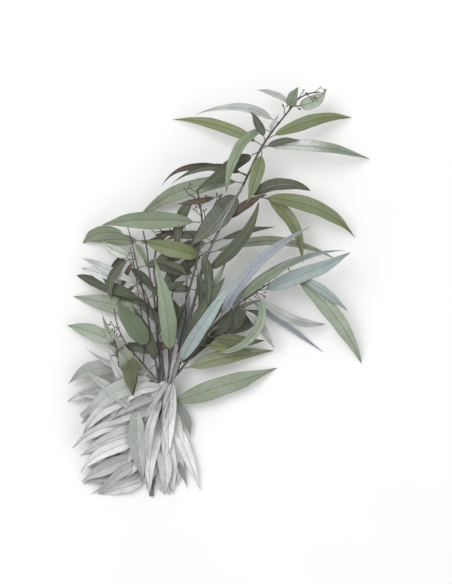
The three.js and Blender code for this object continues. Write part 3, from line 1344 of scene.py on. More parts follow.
@dataclass(frozen=True)
class Habit:
    """How one leaf is built.

    "fold" is how steeply its halves rise from the midrib, "drawn" how much its tip is drawn out, and
    "twist" how far it turns on its way to the tip, in radians.
    """

    widest_at: float
    fullness: float
    drawn: float
    fold: float
    twist: float

    WIDEST_AT, FULLNESS, DRAWN, TWIST = (0.3, 0.43), (1.3, 1.85), (0.1, 0.75), (-0.5, 0.5)
    FOLDED_UP, FOLDED_DOWN, DOWN_SHARE = (0.04, 0.42), (-0.16, 0.0), 0.2

    @classmethod
    def by_chance(cls, chance: np.random.Generator) -> "Habit":
        """Draws a leaf's habit.

        Args:
            chance: The source of chance.

        Returns:
            The habit.
        """
        fold = chance.uniform(*(cls.FOLDED_UP if chance.uniform() > cls.DOWN_SHARE else cls.FOLDED_DOWN))
        ranges = (cls.WIDEST_AT, cls.FULLNESS, cls.DRAWN, cls.TWIST)
        widest_at, fullness, drawn, twist = (chance.uniform(*both) for both in ranges)
        return cls(widest_at, fullness, drawn, fold, twist)


@dataclass(frozen=True)
class Bloom:
    """How far one leaf departs from its tone, each from 0 to 1."""

    frost: float = 0.0
    darkness: float = 0.0
    fading: float = 0.0


@dataclass
class Blade:
    """One leaf, as the line of its midrib with its width.

    Each row holds a point of the midline, the direction across the leaf, and the direction out of its
    upper face, at even steps from the foot to the tip.
    """

    name: str
    tone: Tone
    rows: Array
    wide: float
    lot: float
    bloom: Bloom = Bloom()
    node: str | None = None

    @property
    def length(self) -> float:
        """The leaf's length with its stalk."""
        return Path(self.rows[:, :3]).length


@dataclass(frozen=True)
class Shoot:
    """A leaf to grow, by the same rule as the frame's leaves. Millimetres and degrees.

    It grows "at" from its twig's foot in a compass heading and turns by "bend" on its way to the tip. "late"
    above 1 keeps the bend for the tip. "tip" is the tip's height, and "arch" how far the middle rises.
    """

    at: float
    heading: float
    bend: float
    long: float
    wide: float
    tip: float
    arch: float
    roll: float
    tone: Tone
    late: float = 1.0
    bloom: Bloom = Bloom()

    STEPS = 40
    DEPTH = 0.4 * MM
    LEAST_HEIGHT = 0.6 * MM
    EDGE = 1.5 * MM

    def grown(self, name: str, twig: Twig, lot: float) -> Blade:
        """Grows the leaf.

        Args:
            name: The leaf's name.
            twig: The twig that carries it.
            lot: The leaf's own number from 0 to 1.

        Returns:
            The leaf.
        """
        foot = twig.foot_beside(self.at * MM, compass(self.heading), self.DEPTH)
        share = np.linspace(0, 1, self.STEPS)
        headings = self.heading + self.bend * share[:-1] ** self.late
        steps = compass(headings) * (self.long * MM / (self.STEPS - 1))
        points = foot + np.vstack((np.zeros(3), np.cumsum(steps, axis=0)))
        points = foot + (points - foot) * self._room(points[:, :2], share)
        rise = (self.tip * MM - foot[2]) * share + self.arch * MM * hump(share)
        points[:, 2] = np.maximum(foot[2] + rise, self.LEAST_HEIGHT)
        along = unit(np.gradient(points, axis=0))
        across = unit(np.cross(along, UP))
        roll = np.radians(self.roll) * np.sin(np.pi * share)
        rows = np.column_stack((points, *turned(across, np.cross(across, along), roll)))
        return Blade(name, self.tone, rows, self.wide * MM, lot, self.bloom)

    def _room(self, points: Array, share: Array) -> float:
        """How much of its reach the leaf has room for inside the frame's box, as a share of 1.

        Args:
            points: The leaf's midline seen from above, from foot to tip.
            share: Each point's place along the leaf, from 0 to 1.

        Returns:
            1 if all of the leaf has room, or less.
        """
        low, high = (np.array(corner[:2]) - points[0] for corner in CAD_BOX)
        margin = (self.EDGE + self.wide * MM / 2 * np.sin(np.pi * share))[:, None]
        reach = points - points[0]
        used_high = reach / np.maximum(high - margin, self.EDGE)
        used_low = reach / np.minimum(low + margin, -self.EDGE)
        return 1 / max(1.0, float(used_high.max()), float(used_low.max()))


@dataclass
class Foliage:
    """Makes the visible leaves on their midlines."""

    steps: int = 64
    around: int = 28
    thickness: float = 0.5 * MM
    stalk_thickness: float = 1.25 * MM
    rib_depth: float = 0.38 * MM
    wave_height: float = 5.5 * MM
    sway: float = 0.9 * MM
    wave: Grain = Grain((32.0, 2.3, 40.0), 1.0, 1.0)
    ripple: Grain = Grain((110.0, 1.2, 40.0), 1.0, 1.0)
    seed: int = 11
    finishes: dict[Tone, bpy.types.Material] = field(
        default_factory=lambda: {f.tone: f.make() for f in LEAF_FINISHES}
    )

    # The section: how sharp its margins are, how its halves curve up, and the ripples on its waves.
    SHARPNESS, CUPPING, RIPPLES, RIPPLE_LOT = 1.35, 1.4, 0.25, 0.225
    RIB_SPREAD, SIDES_MEET, CLOSING = 0.8 * MM, 0.01, 0.001 * MM

    # The outline: its stalk, the flare at the stalk's foot, the drawn tip, and the small nicks in it.
    STALK_LENGTH, STALK_SHARE, STALK_TAPER, LEAFY_BY = 11 * MM, 0.16, 0.6, 0.12
    FLARE, FLARE_LENGTH = 0.5, 2 * MM
    DRAWN_MOST, DRAWN_ALONG = 0.6, (0.62, 0.98)
    TIP_SHARE, TIP_BLUNTNESS, THIN_SHARE, THIN_BLUNTNESS = 0.02, 0.6, 0.05, 0.5
    LEAN, NICK_DEPTH, NICK_TURNS, NICK_LOT_TURNS, NICK_START = 0.09, 0.035, 17, 6, 40
    NICK_PACES = (0.8, 1.0)

    # The midline: where the twist begins, and how the blade sways and slackens.
    TWIST_ALONG, SWAY_RANGE, SWAY_TURNS, SWAY_ASIDE = (0.25, 1.0), (0.4, 1.0), 9, 0.6
    SLACK_WIDTH, SLACK_END = 18 * MM, 0.15

    def __post_init__(self) -> None:
        """Builds the growing tree and the source of chance."""
        self.chance = np.random.default_rng(self.seed)
        self.tree = self._blade_tree()

    def _blade_tree(self) -> bpy.types.NodeTree:
        """The tree that wraps a thin closed blade round a midline.

        A grid is rolled up: its first side runs along the leaf, its second round the section, above from
        one margin to the other and back below. Both ends close to a point.

        Returns:
            The tree.
        """
        sizes = {"Steps Along": self.steps, "Steps Around": self.around, "Rib Depth": self.rib_depth}
        sizes |= {"Wave Height": self.wave_height, "Lot": 0.5, "Frost": 0.0, "Darkness": 0.0, "Fading": 0.0}
        tree, given = growing_tree("leaf_blade", sizes)
        curve = tree.add("GeometryNodeMeshToCurve", inputs={"Mesh": given["Line"]})
        inputs = {"Size X": 1.0, "Size Y": 1.0, "Vertices X": given["Steps Along"] + 1.0}
        grid = tree.add("GeometryNodeMeshGrid", inputs=inputs | {"Vertices Y": given["Steps Around"] + 1.0})
        x, y, _ = tree.add("GeometryNodeInputPosition").parts()
        share = x + 0.5
        angle = (y + 0.5) * FULL_TURN
        swing, top = angle.of("COSINE"), angle.of("SINE")
        half_side = swing.of("SIGN")
        side = half_side * swing.of("ABSOLUTE") ** self.SHARPNESS
        edge = side.of("ABSOLUTE")
        across, face, girth, lie = (
            tree.sampled(curve, share, name) for name in ("across", "face", "girth", "lie")
        )
        centre = tree.also(across, "Position")
        left, right, thickness = girth.parts()
        cup, slack, along = lie.parts()
        half = left + (right - left) * side.step(-self.SIDES_MEET, self.SIDES_MEET)
        wide = side * half
        rib = 1.0 / (1.0 + (wide / self.RIB_SPREAD) ** 2.0) ** 2.0
        wave = self.wave.at(along, half_side, given["Lot"]) - 0.5
        ripple = self.ripple.at(along, side, given["Lot"] + self.RIPPLE_LOT) - 0.5
        lift = top * thickness * 0.5 + cup * half * edge ** self.CUPPING
        lift = lift + (wave + ripple * self.RIPPLES) * given["Wave Height"] * slack * edge * edge
        lift = lift - rib * given["Rib Depth"] * slack
        grid = tree.store(grid, "blade", tree.join(share, side, top))
        grid = tree.store(grid, "reach", tree.join(along, wide, given["Lot"]))
        grid = tree.store(grid, "bloom", tree.join(given["Frost"], given["Darkness"], given["Fading"]))
        place = centre + across * wide + face * lift
        rolled = tree.add("GeometryNodeSetPosition", inputs={"Geometry": grid, "Position": place})
        inputs = {"Geometry": rolled, "Distance": self.CLOSING}
        closed = tree.add("GeometryNodeMergeByDistance", inputs=inputs)
        return end_tree(tree, closed, given["Finish"])

    def _girth(self, blade: Blade, habit: Habit, share: Array) -> tuple[Array, Array]:
        """Width and thickness of a leaf along its midline.

        Args:
            blade: The leaf.
            habit: How it is built.
            share: Shares of its length.

        Returns:
            The half widths to the left and right with the thickness, and how much of a blade each place is,
            from 0 on the stalk to 1.
        """
        stalk = min(self.STALK_LENGTH / blade.length, self.STALK_SHARE)
        grown = np.clip((share - stalk) / (1 - stalk), 0, 1)
        rise = (grown / habit.widest_at) ** (habit.fullness * habit.widest_at)
        fall = ((1 - grown) / (1 - habit.widest_at)) ** (habit.fullness * (1 - habit.widest_at))
        fall *= 1 - habit.drawn * self.DRAWN_MOST * smooth(grown, *self.DRAWN_ALONG)
        leafy = smooth(grown, 0.0, self.LEAFY_BY)
        flare = self.FLARE * np.exp(-share * blade.length / self.FLARE_LENGTH)
        stalk_girth = self.stalk_thickness * (1 + flare)
        tip = np.clip((1 - share) / self.TIP_SHARE, 0, 1) ** self.TIP_BLUNTNESS
        half = np.maximum(blade.wide / 2 * rise * fall, stalk_girth / 2 * (1 - self.STALK_TAPER * share))
        half *= tip * (share > 0)
        thickness = stalk_girth * (1 - leafy) + self.thickness * leafy
        thickness *= np.clip((1 - share) / self.THIN_SHARE, 0, 1) ** self.THIN_BLUNTNESS * (share > 0)
        lean = self.LEAN * (2 * blade.lot - 1) * leafy
        turn = share * (self.NICK_TURNS + self.NICK_LOT_TURNS * blade.lot) + self.NICK_START * blade.lot
        nicks = (self.NICK_DEPTH * leafy * np.sin(turn * pace) for pace in self.NICK_PACES)
        left_nicks, right_nicks = nicks
        left, right = half * (1 - lean + left_nicks), half * (1 + lean + right_nicks)
        return np.column_stack((left, right, thickness)), leafy

    def build(self, blade: Blade) -> bpy.types.Object:
        """Makes one leaf.

        Args:
            blade: The leaf's midline and width.

        Returns:
            The piece.
        """
        habit = Habit.by_chance(self.chance)
        rows = smooth_rows(blade.rows, self.steps + 1)
        points, across, face = rows[:, :3], unit(rows[:, 3:6]), rows[:, 6:9]
        face = unit(face - across * (face * across).sum(axis=1, keepdims=True))
        share = np.linspace(0, 1, len(rows))
        girth, leafy = self._girth(blade, habit, share)
        across, face = turned(across, face, habit.twist * smooth(share, *self.TWIST_ALONG))
        phase, sway = self.chance.uniform(0, FULL_TURN), self.chance.uniform(*self.SWAY_RANGE) * self.sway
        wobble = (sway * leafy * np.sin(share * self.SWAY_TURNS + phase))[:, None]
        points = points + face * wobble + across * wobble * self.SWAY_ASIDE
        slack = leafy * min(1.0, blade.wide / self.SLACK_WIDTH) * np.clip((1 - share) / self.SLACK_END, 0, 1)
        lie = np.column_stack((habit.fold * leafy, slack, share * blade.length))
        line = new_line([points], {"across": across, "face": face, "girth": girth, "lie": lie})
        inputs = {"Lot": blade.lot, "Finish": self.finishes[blade.tone]}
        inputs |= {"Frost": blade.bloom.frost, "Darkness": blade.bloom.darkness, "Fading": blade.bloom.fading}
        piece = grow(blade.name, line, self.tree, inputs)
        set_on_body(piece, blade.node)
        return piece


# The leaves of the frame that depart from their tone.
BLOOMS = {
    "crown_leaf_2": Bloom(0.35),
    "crown_leaf_4": Bloom(0.95, fading=0.95),
    "lower_leaf_5": Bloom(0.1),
    "shoulder_leaf_1": Bloom(0.06, darkness=0.25),
    "left_leaf_3": Bloom(0.15),
    "upper_leaf_3": Bloom(0.12),
    "upper_leaf_7": Bloom(0.15),
    "silver_leaf_1": Bloom(0.08),
    "silver_leaf_6": Bloom(0.15),
    "silver_leaf_10": Bloom(0.2),
    "left_leaf_2": Bloom(darkness=0.8),
    "upper_leaf_4": Bloom(darkness=0.5),
    "outer_leaf_2": Bloom(darkness=0.9),
    "outer_leaf_1": Bloom(0.35, darkness=0.35),
}


@dataclass
class Skeleton:
    """The lines of the sprig: its twigs and the large leaves that the frame holds."""

    twig_names: tuple[str, ...] = (
        "main_stem", "shoulder_twig", "left_twig", "outer_twig", "silver_twig", "right_twig", "basal_twig",
    )
    leaf_sides: int = 4
    seed: int = 4

    def __post_init__(self) -> None:
        """Reads the twigs back from the frame."""
        self.twigs = {name: Twig.from_frame(name) for name in self.twig_names}
        self.tones = {row["node"]: Tone(row["material_slot"]) for row in frame["record"]["subparts"]}
        self.origin = self.twigs["main_stem"].path.points[0] * (1, 1, 0)

    @staticmethod
    def _sorted_ring(ring: Array, across: Array, face: Array) -> tuple[Array, Array, Array, Array]:
        """The corners of a leaf's ring in order.

        Args:
            ring: The four corners.
            across: Roughly the direction across the leaf.
            face: Roughly the direction out of its face.

        Returns:
            The left, right, lower and upper corner.
        """
        middle = ring - ring.mean(axis=0)
        left, right = (middle @ across).argmin(), (middle @ across).argmax()
        rest = [i for i in range(len(ring)) if i not in (left, right)]
        low, high = sorted(rest, key=lambda i: float(middle[i] @ face))
        return ring[left], ring[right], ring[low], ring[high]

    def _rows(self, rings: list[Array]) -> tuple[Array, float]:
        """Reads the midline of a leaf from its rings, from the widest one towards both ends.

        Args:
            rings: The corners of each ring, with a single one at each end.

        Returns:
            For each ring its middle, the direction across the leaf and the direction out of its upper face,
            and the leaf's width.
        """
        last = len(rings) - 1
        spans = [max(np.linalg.norm(ring - corner, axis=1).max() for corner in ring) for ring in rings[1:-1]]
        start = int(np.argmax(spans)) + 1
        along = unit(np.gradient(np.array([ring.mean(axis=0) for ring in rings]), axis=0))
        pairs = [(a, b) for a in rings[start] for b in rings[start]]
        first, second = max(pairs, key=lambda pair: np.linalg.norm(pair[0] - pair[1]))
        guess = unit(second - first)
        guess = guess if np.dot(np.cross(guess, along[start]), UP) > 0 else -guess
        rows = np.empty((last + 1, 9))
        for way in (range(start, last), range(start, 0, -1)):
            across, face = guess, unit(np.cross(guess, along[start]))
            for i in way:
                left, right, low, high = self._sorted_ring(rings[i], across, face)
                across = unit(right - left)
                face = unit(np.cross(across, along[i]))
                rows[i] = np.concatenate(((low + high) / 2, across, face))
        rows[0] = np.concatenate((rings[0][0], rows[1, 3:]))
        rows[last] = np.concatenate((rings[last][0], rows[last - 1, 3:]))
        return rows, max(spans)

    def leaf(self, name: str, lot: float) -> Blade:
        """Reads a leaf back from its frame solid.

        Args:
            name: The frame's node.
            lot: The leaf's own number from 0 to 1.

        Returns:
            The leaf, its stalk lengthened into the wood.
        """
        rings = read_rings(frame["nodes"][name], self.leaf_sides)
        foot, tip = rings[0][0], rings[-1][0]
        if min(t.gap(foot) for t in self.twigs.values()) > min(t.gap(tip) for t in self.twigs.values()):
            rings.reverse()
            foot = tip
        rows, wide = self._rows(rings)
        twig = min(self.twigs.values(), key=lambda t: t.gap(foot))
        at, _ = twig.path.nearest(foot)
        twig.joints.append(at)
        root = twig.path.place(at)
        rows[0, :3] = root + unit(foot - root) * (twig.radius_at(at) - Shoot.DEPTH)
        return Blade(f"{name}_blade", self.tones[name], rows, wide, lot, BLOOMS.get(name, Bloom()), name)

    def root_twigs(self) -> None:
        """Lengthens every side twig into the wood that it grows from."""
        _, *side_twigs = self.twigs.values()
        for twig in side_twigs:
            twig.root_on(self.twigs.values())

    def leaves(self) -> list[Blade]:
        """Reads back all of the frame's leaves.

        Returns:
            The leaves.
        """
        chance = np.random.default_rng(self.seed)
        names = sorted(set(frame["nodes"]) - set(self.twigs))
        return [self.leaf(name, float(chance.uniform())) for name in names]


# Thin twigs that the frame leaves out, in millimetres from the foot of the stem.
SPROUTS = (
    Sprout("shoulder_fork", ((66, 352, 59), (72, 363, 61), (80, 375, 63), (94, 397, 66)), 1.2, 0.7),
    Sprout("shoulder_spur", ((65, 378, 63), (60, 389, 66), (51, 397, 68), (44, 405, 69)), 1.0, 0.5),
    Sprout("shoulder_side", ((66, 338, 57), (50, 346, 50), (29, 350, 48), (5, 348, 46)), 0.9, 0.45),
    Sprout(
        "left_rib",
        (
            (6, 82, 11), (-2, 125, 17), (-8, 172, 25), (-9, 215, 33),
            (-14, 262, 40), (-21, 305, 44), (-26, 330, 46),
        ),
        1.0, 0.5,
    ),
    Sprout(
        "inner_rib",
        (
            (12, 100, 13), (15, 150, 20), (12, 200, 28), (6, 248, 35),
            (0, 290, 42), (-3, 322, 46), (-9, 350, 50),
        ),
        2.0, 0.8,
    ),
    Sprout(
        "bundle_rib",
        (
            (8, 92, 12), (11, 130, 16), (11, 175, 22), (9, 222, 28),
            (9, 262, 33), (5, 298, 38), (8, 330, 41),
        ),
        2.3, 1.1,
    ),
    Sprout(
        "bundle_side",
        ((11, 95, 12), (20, 140, 15), (24, 190, 19), (23, 235, 24), (30, 275, 28), (34, 305, 31)),
        1.5, 0.6,
    ),
    Sprout(
        "inner_fork",
        ((9, 225, 32), (0, 252, 40), (-12, 280, 46), (-20, 300, 48), (-31, 318, 49)),
        0.9, 0.45,
    ),
    Sprout(
        "crossing_rib",
        ((20, 132, 18), (18, 170, 30), (12, 215, 42), (2, 250, 50), (-10, 275, 54), (-24, 300, 56)),
        0.8, 0.4,
    ),
    Sprout(
        "middle_rib",
        (
            (31, 162, 23), (39, 205, 33), (46, 245, 39), (48, 282, 43),
            (45, 312, 47), (38, 342, 50), (34, 362, 53),
        ),
        1.0, 0.5,
    ),
    Sprout("stem_rib", ((46, 215, 30), (60, 246, 38), (69, 276, 43), (72, 300, 46), (71, 322, 47)), 1.1, 0.6),
    Sprout("base_rib", ((2, 40, 7), (9, 85, 8), (20, 125, 12), (33, 160, 17), (44, 196, 22)), 1.4, 0.7),
    Sprout("low_rib", ((1, 25, 5), (-4, 62, 8), (-12, 100, 10), (-24, 140, 12), (-36, 178, 16)), 1.3, 0.6),
    Sprout(
        "outer_rib",
        ((-15, 122, 25), (-32, 150, 31), (-42, 180, 36), (-46, 208, 39), (-47, 226, 40)),
        0.9, 0.5,
    ),
)

# Smaller leaves that the frame leaves out, by the twig that they grow on.
SHOOTS = {
    "main_stem": (
        Shoot(548, 78, -22, 33, 15, 70, 3, 12, Tone.SAGE),
        Shoot(508, 78, -30, 28, 6, 66, 1, 0, Tone.SILVER),
        Shoot(497, 104, 32, 42, 12, 74, 2, -15, Tone.DARK),
        Shoot(486, 24, -24, 52, 9, 62, 2, 15, Tone.DARK),
        Shoot(447, 152, 72, 106, 9, 50, 6, 15, Tone.DARK),
        Shoot(404, 214, 30, 88, 15, 34, 2, 10, Tone.DARK),
        Shoot(378, 42, -15, 66, 12, 68, 3, 12, Tone.BROWN),
        Shoot(350, 150, 60, 64, 12, 48, 4, -15, Tone.DARK),
        Shoot(336, 208, 26, 72, 14, 30, 2, 10, Tone.DARK),
        Shoot(322, 280, -14, 60, 11, 62, 7, 8, Tone.DARK),
        Shoot(300, 150, 40, 70, 15, 42, 4, 12, Tone.DARK),
        Shoot(283, 172, 10, 42, 11, 36, 2, 10, Tone.DARK),
        Shoot(262, 40, 30, 74, 10, 52, 3, -10, Tone.SAGE),
        Shoot(236, 118, 40, 86, 13, 44, 4, 15, Tone.DARK),
        Shoot(220, 35, 12, 70, 12, 22, 2, 10, Tone.DARK),
        Shoot(212, 196, -30, 74, 13, 12, 2, 10, Tone.DARK),
        Shoot(176, 50, -26, 84, 14, 12, 2, 10, Tone.DARK),
        Shoot(140, 318, -46, 66, 12, 8, 2, 8, Tone.SILVER, bloom=Bloom(darkness=0.9)),
        Shoot(118, 250, 24, 112, 20, 9, 9, 4, Tone.SILVER, bloom=Bloom(0.9)),
        Shoot(88, 290, -30, 88, 18, 8, 8, 6, Tone.SILVER, bloom=Bloom(0.6)),
        Shoot(84, 312, -28, 84, 13, 3, 4, 8, Tone.SILVER, bloom=Bloom(darkness=0.7)),
        Shoot(46, 172, 30, 60, 12, 1, 4, 10, Tone.SILVER),
        Shoot(30, -5, 34, 44, 9, 1, 3, 10, Tone.SILVER),
    ),
    "shoulder_fork": (Shoot(52, 200, -18, 58, 8, 62, 2, 8, Tone.BROWN),),
    "shoulder_side": (
        Shoot(22, 176, 14, 42, 7, 42, 1, 10, Tone.BROWN),
        Shoot(40, 214, -28, 46, 9, 40, 2, 12, Tone.DARK),
        Shoot(54, 140, 34, 36, 8, 44, 2, -12, Tone.GREEN),
    ),
    "shoulder_twig": (
        Shoot(256, 186, 96, 82, 15, 46, 3, 10, Tone.DARK, late=0.5),
        Shoot(190, 300, -40, 62, 14, 46, 2, 10, Tone.DARK),
        Shoot(168, 290, -35, 60, 10, 38, 2, 10, Tone.DARK),
        Shoot(150, 132, 50, 62, 9, 40, 4, -15, Tone.DARK),
        Shoot(118, 238, 34, 78, 12, 22, 3, 12, Tone.DARK),
        Shoot(64, 120, 30, 96, 12, 30, 4, 14, Tone.DARK),
    ),
    "left_twig": (
        Shoot(222, 322, -48, 42, 8, 40, 2, 10, Tone.SAGE),
        Shoot(202, 176, -44, 50, 14, 42, 3, 8, Tone.SAGE, bloom=Bloom(0.6)),
        Shoot(198, 176, 112, 72, 12, 55, 3, 8, Tone.DARK, late=0.7),
        Shoot(200, 240, 10, 52, 6, 36, 3, 8, Tone.BROWN),
        Shoot(186, 20, -60, 66, 11, 34, 3, 12, Tone.DARK),
        Shoot(168, 214, 20, 44, 5, 34, 2, 8, Tone.BROWN),
        Shoot(150, 148, 18, 90, 22, 31, 3, 8, Tone.SILVER, bloom=Bloom(0.95)),
        Shoot(142, 38, -25, 60, 12, 34, 3, 10, Tone.DARK),
        Shoot(96, 30, 30, 62, 12, 40, 3, 10, Tone.DARK),
        Shoot(52, 100, 24, 92, 15, 38, 3, 10, Tone.DARK),
        Shoot(32, 166, -24, 108, 10, 16, 5, 10, Tone.SILVER),
        Shoot(28, 148, -42, 122, 22, 42, 3, 12, Tone.SAGE, bloom=Bloom(0.25)),
    ),
    "bundle_rib": (
        Shoot(100, 162, 20, 54, 13, 26, 3, 10, Tone.DARK),
        Shoot(126, 34, 26, 56, 12, 34, 3, 10, Tone.DARK),
        Shoot(168, 58, 30, 52, 12, 30, 3, 10, Tone.DARK),
        Shoot(182, 128, 24, 48, 12, 36, 3, 10, Tone.DARK),
    ),
    "outer_twig": (Shoot(48, 262, 12, 52, 20, 52, 3, -8, Tone.GREEN, bloom=Bloom(darkness=0.9)),),
    "inner_rib": (
        Shoot(240, 172, 16, 72, 15, 34, 3, 12, Tone.SAGE, bloom=Bloom(darkness=0.5)),
        Shoot(206, 26, 40, 48, 11, 34, 2, 10, Tone.DARK),
        Shoot(150, 148, 30, 62, 10, 30, 3, 10, Tone.DARK),
    ),
    "silver_twig": (
        Shoot(206, -28, -26, 58, 6, 20, 6, 10, Tone.BROWN),
        Shoot(168, 62, -50, 60, 7, 52, 3, 15, Tone.LILAC),
        Shoot(128, -38, -26, 76, 12, 20, 4, 10, Tone.SILVER),
        Shoot(140, 262, -62, 62, 17, 22, 3, -10, Tone.DARK),
        Shoot(120, 246, -40, 50, 16, 22, 3, 10, Tone.DARK),
        Shoot(70, -16, 22, 78, 15, 8, 4, 10, Tone.GREEN, bloom=Bloom(darkness=0.6)),
        Shoot(66, 52, -40, 96, 9, 30, 4, -12, Tone.SAGE),
        Shoot(54, 2, -20, 68, 14, 12, 4, 10, Tone.GREEN),
        Shoot(34, 70, -30, 90, 12, 34, 4, 12, Tone.DARK),
    ),
}


@dataclass(frozen=True)
class Fan:
    """Leaves in a row along one twig, whose headings turn evenly from the first to the last.

    Millimetres and degrees. Each leaf departs a little from the row by its own chance.
    """

    name: str
    twig: str
    count: int
    at: tuple[float, float]
    heading: tuple[float, float]
    bend: tuple[float, float]
    long: tuple[float, float]
    wide: tuple[float, float]
    tip: tuple[float, float]
    arch: float = 6.0
    tone: Tone = Tone.SILVER
    frost: tuple[float, float] = (0.35, 1.0)
    darkness: tuple[float, float] = (0.0, 0.35)

    # How far one leaf strays from the row: in millimetres, in degrees, and as shares of its sizes.
    AT, HEADING, BEND, ROLL = 2, 10, 12, 26
    LONG, WIDE, TIP, ARCH = 0.08, 0.12, 0.3, 0.4

    def bloom(self, chance: np.random.Generator) -> Bloom:
        """How one leaf of the row departs from its tone: the frostier it is, the less it is darkened.

        Args:
            chance: The source of chance.

        Returns:
            The leaf's bloom.
        """
        share = float(chance.uniform())
        frost, darkness = (low + (high - low) * share for low, high in (self.frost, self.darkness[::-1]))
        return Bloom(frost, darkness)

    def shoots(self, chance: np.random.Generator) -> list[Shoot]:
        """Lays out the row's leaves.

        Args:
            chance: The source of chance.

        Returns:
            The leaves to grow.
        """
        shoots = []
        ranges = (self.at, self.heading, self.bend, self.long, self.wide, self.tip)
        for share in np.linspace(0, 1, self.count):
            slip, swing, curl, length, rise, breadth = chance.uniform(-1, 1, 6)
            at, heading, bend, long, wide, tip = (a + (b - a) * share for a, b in ranges)
            shoots.append(Shoot(
                at=at + self.AT * slip,
                heading=heading + self.HEADING * swing,
                bend=bend + self.BEND * curl,
                long=long * (1 + self.LONG * length),
                wide=wide * (1 + self.WIDE * breadth),
                tip=tip * (1 + self.TIP * rise),
                arch=self.arch * (1 + self.ARCH * breadth),
                roll=self.ROLL * swing,
                tone=self.tone,
                bloom=self.bloom(chance),
            ))
        return shoots


# The pale skirt round the foot of the sprig, from its dusky top to its white foot.
DUSKY = {"frost": (0.1, 0.7), "darkness": (0.0, 0.65)}
WHITE = {"frost": (0.85, 1.0), "darkness": (0.0, 0.0)}
FANS = (
    Fan(
        "skirt_brow", "left_twig", 3, (8, 40), (172, 184),
        (34, 46), (104, 116), (19, 22), (14, 26), 14, **DUSKY,
    ),
    Fan(
        "skirt_upper", "left_twig", 4, (12, 56), (190, 216),
        (26, 40), (92, 112), (16, 20), (6, 20), 8, **DUSKY,
    ),
    Fan(
        "skirt_left", "main_stem", 6, (30, 138), (172, 192),
        (28, 50), (92, 112), (17, 24), (1, 24), 14,
    ),
    Fan(
        "skirt_arching", "basal_twig", 4, (20, 100), (188, 172),
        (48, 66), (92, 98), (14, 18), (4, 20), 18,
    ),
    Fan(
        "skirt_crossing", "main_stem", 4, (60, 148), (150, 164),
        (60, 84), (88, 104), (12, 16), (4, 24), 16, **DUSKY,
    ),
    Fan(
        "skirt_hanging", "main_stem", 5, (84, 166), (214, 238),
        (20, 22), (84, 124), (17, 20), (2, 12), 8,
    ),
    Fan(
        "skirt_front", "basal_twig", 4, (32, 100), (238, 256),
        (-20, 22), (60, 104), (16, 21), (3, 12), 9,
    ),
    Fan(
        "skirt_right", "main_stem", 6, (60, 166), (289, 264),
        (-14, 8), (50, 104), (13, 18), (1, 17), 5, **WHITE,
    ),
    Fan(
        "skirt_outer", "low_rib", 5, (46, 150), (160, 176),
        (22, 50), (66, 92), (16, 22), (1, 12), 8, **DUSKY,
    ),
    Fan(
        "skirt_low", "main_stem", 4, (18, 50), (182, 204),
        (12, 20), (104, 62), (20, 16), (1, 1), 5, **WHITE,
    ),
    Fan(
        "skirt_foot", "main_stem", 4, (26, 64), (316, 288),
        (-24, -8), (50, 56), (14, 12), (1, 2), 3, **WHITE,
    ),
    Fan(
        "skirt_corner", "main_stem", 4, (88, 142), (293, 288),
        (-26, -16), (92, 124), (16, 18), (1, 4), 6, **WHITE,
    ),
    Fan(
        "skirt_over", "main_stem", 4, (84, 132), (258, 272),
        (-10, 14), (80, 98), (15, 17), (9, 11), 3, **WHITE,
    ),
)


SMALL_LEAF_SEED = 23


def small_leaves(twigs: dict[str, Twig]) -> list[Blade]:
    """Grows the leaves that the frame leaves out.

    Args:
        twigs: The twigs by name.

    Returns:
        The leaves.
    """
    chance = np.random.default_rng(SMALL_LEAF_SEED)
    blades = []
    for twig, shoots in SHOOTS.items():
        for i, shoot in enumerate(shoots, 1):
            blades.append(shoot.grown(f"{twig}_side_leaf_{i}", twigs[twig], float(chance.uniform())))
    for fan in FANS:
        for i, shoot in enumerate(fan.shoots(chance), 1):
            blades.append(shoot.grown(f"{fan.name}_leaf_{i}", twigs[fan.twig], float(chance.uniform())))
    return blades


# ---------------------------------------------------------------------------------------------------------
# Twiglets and buds.


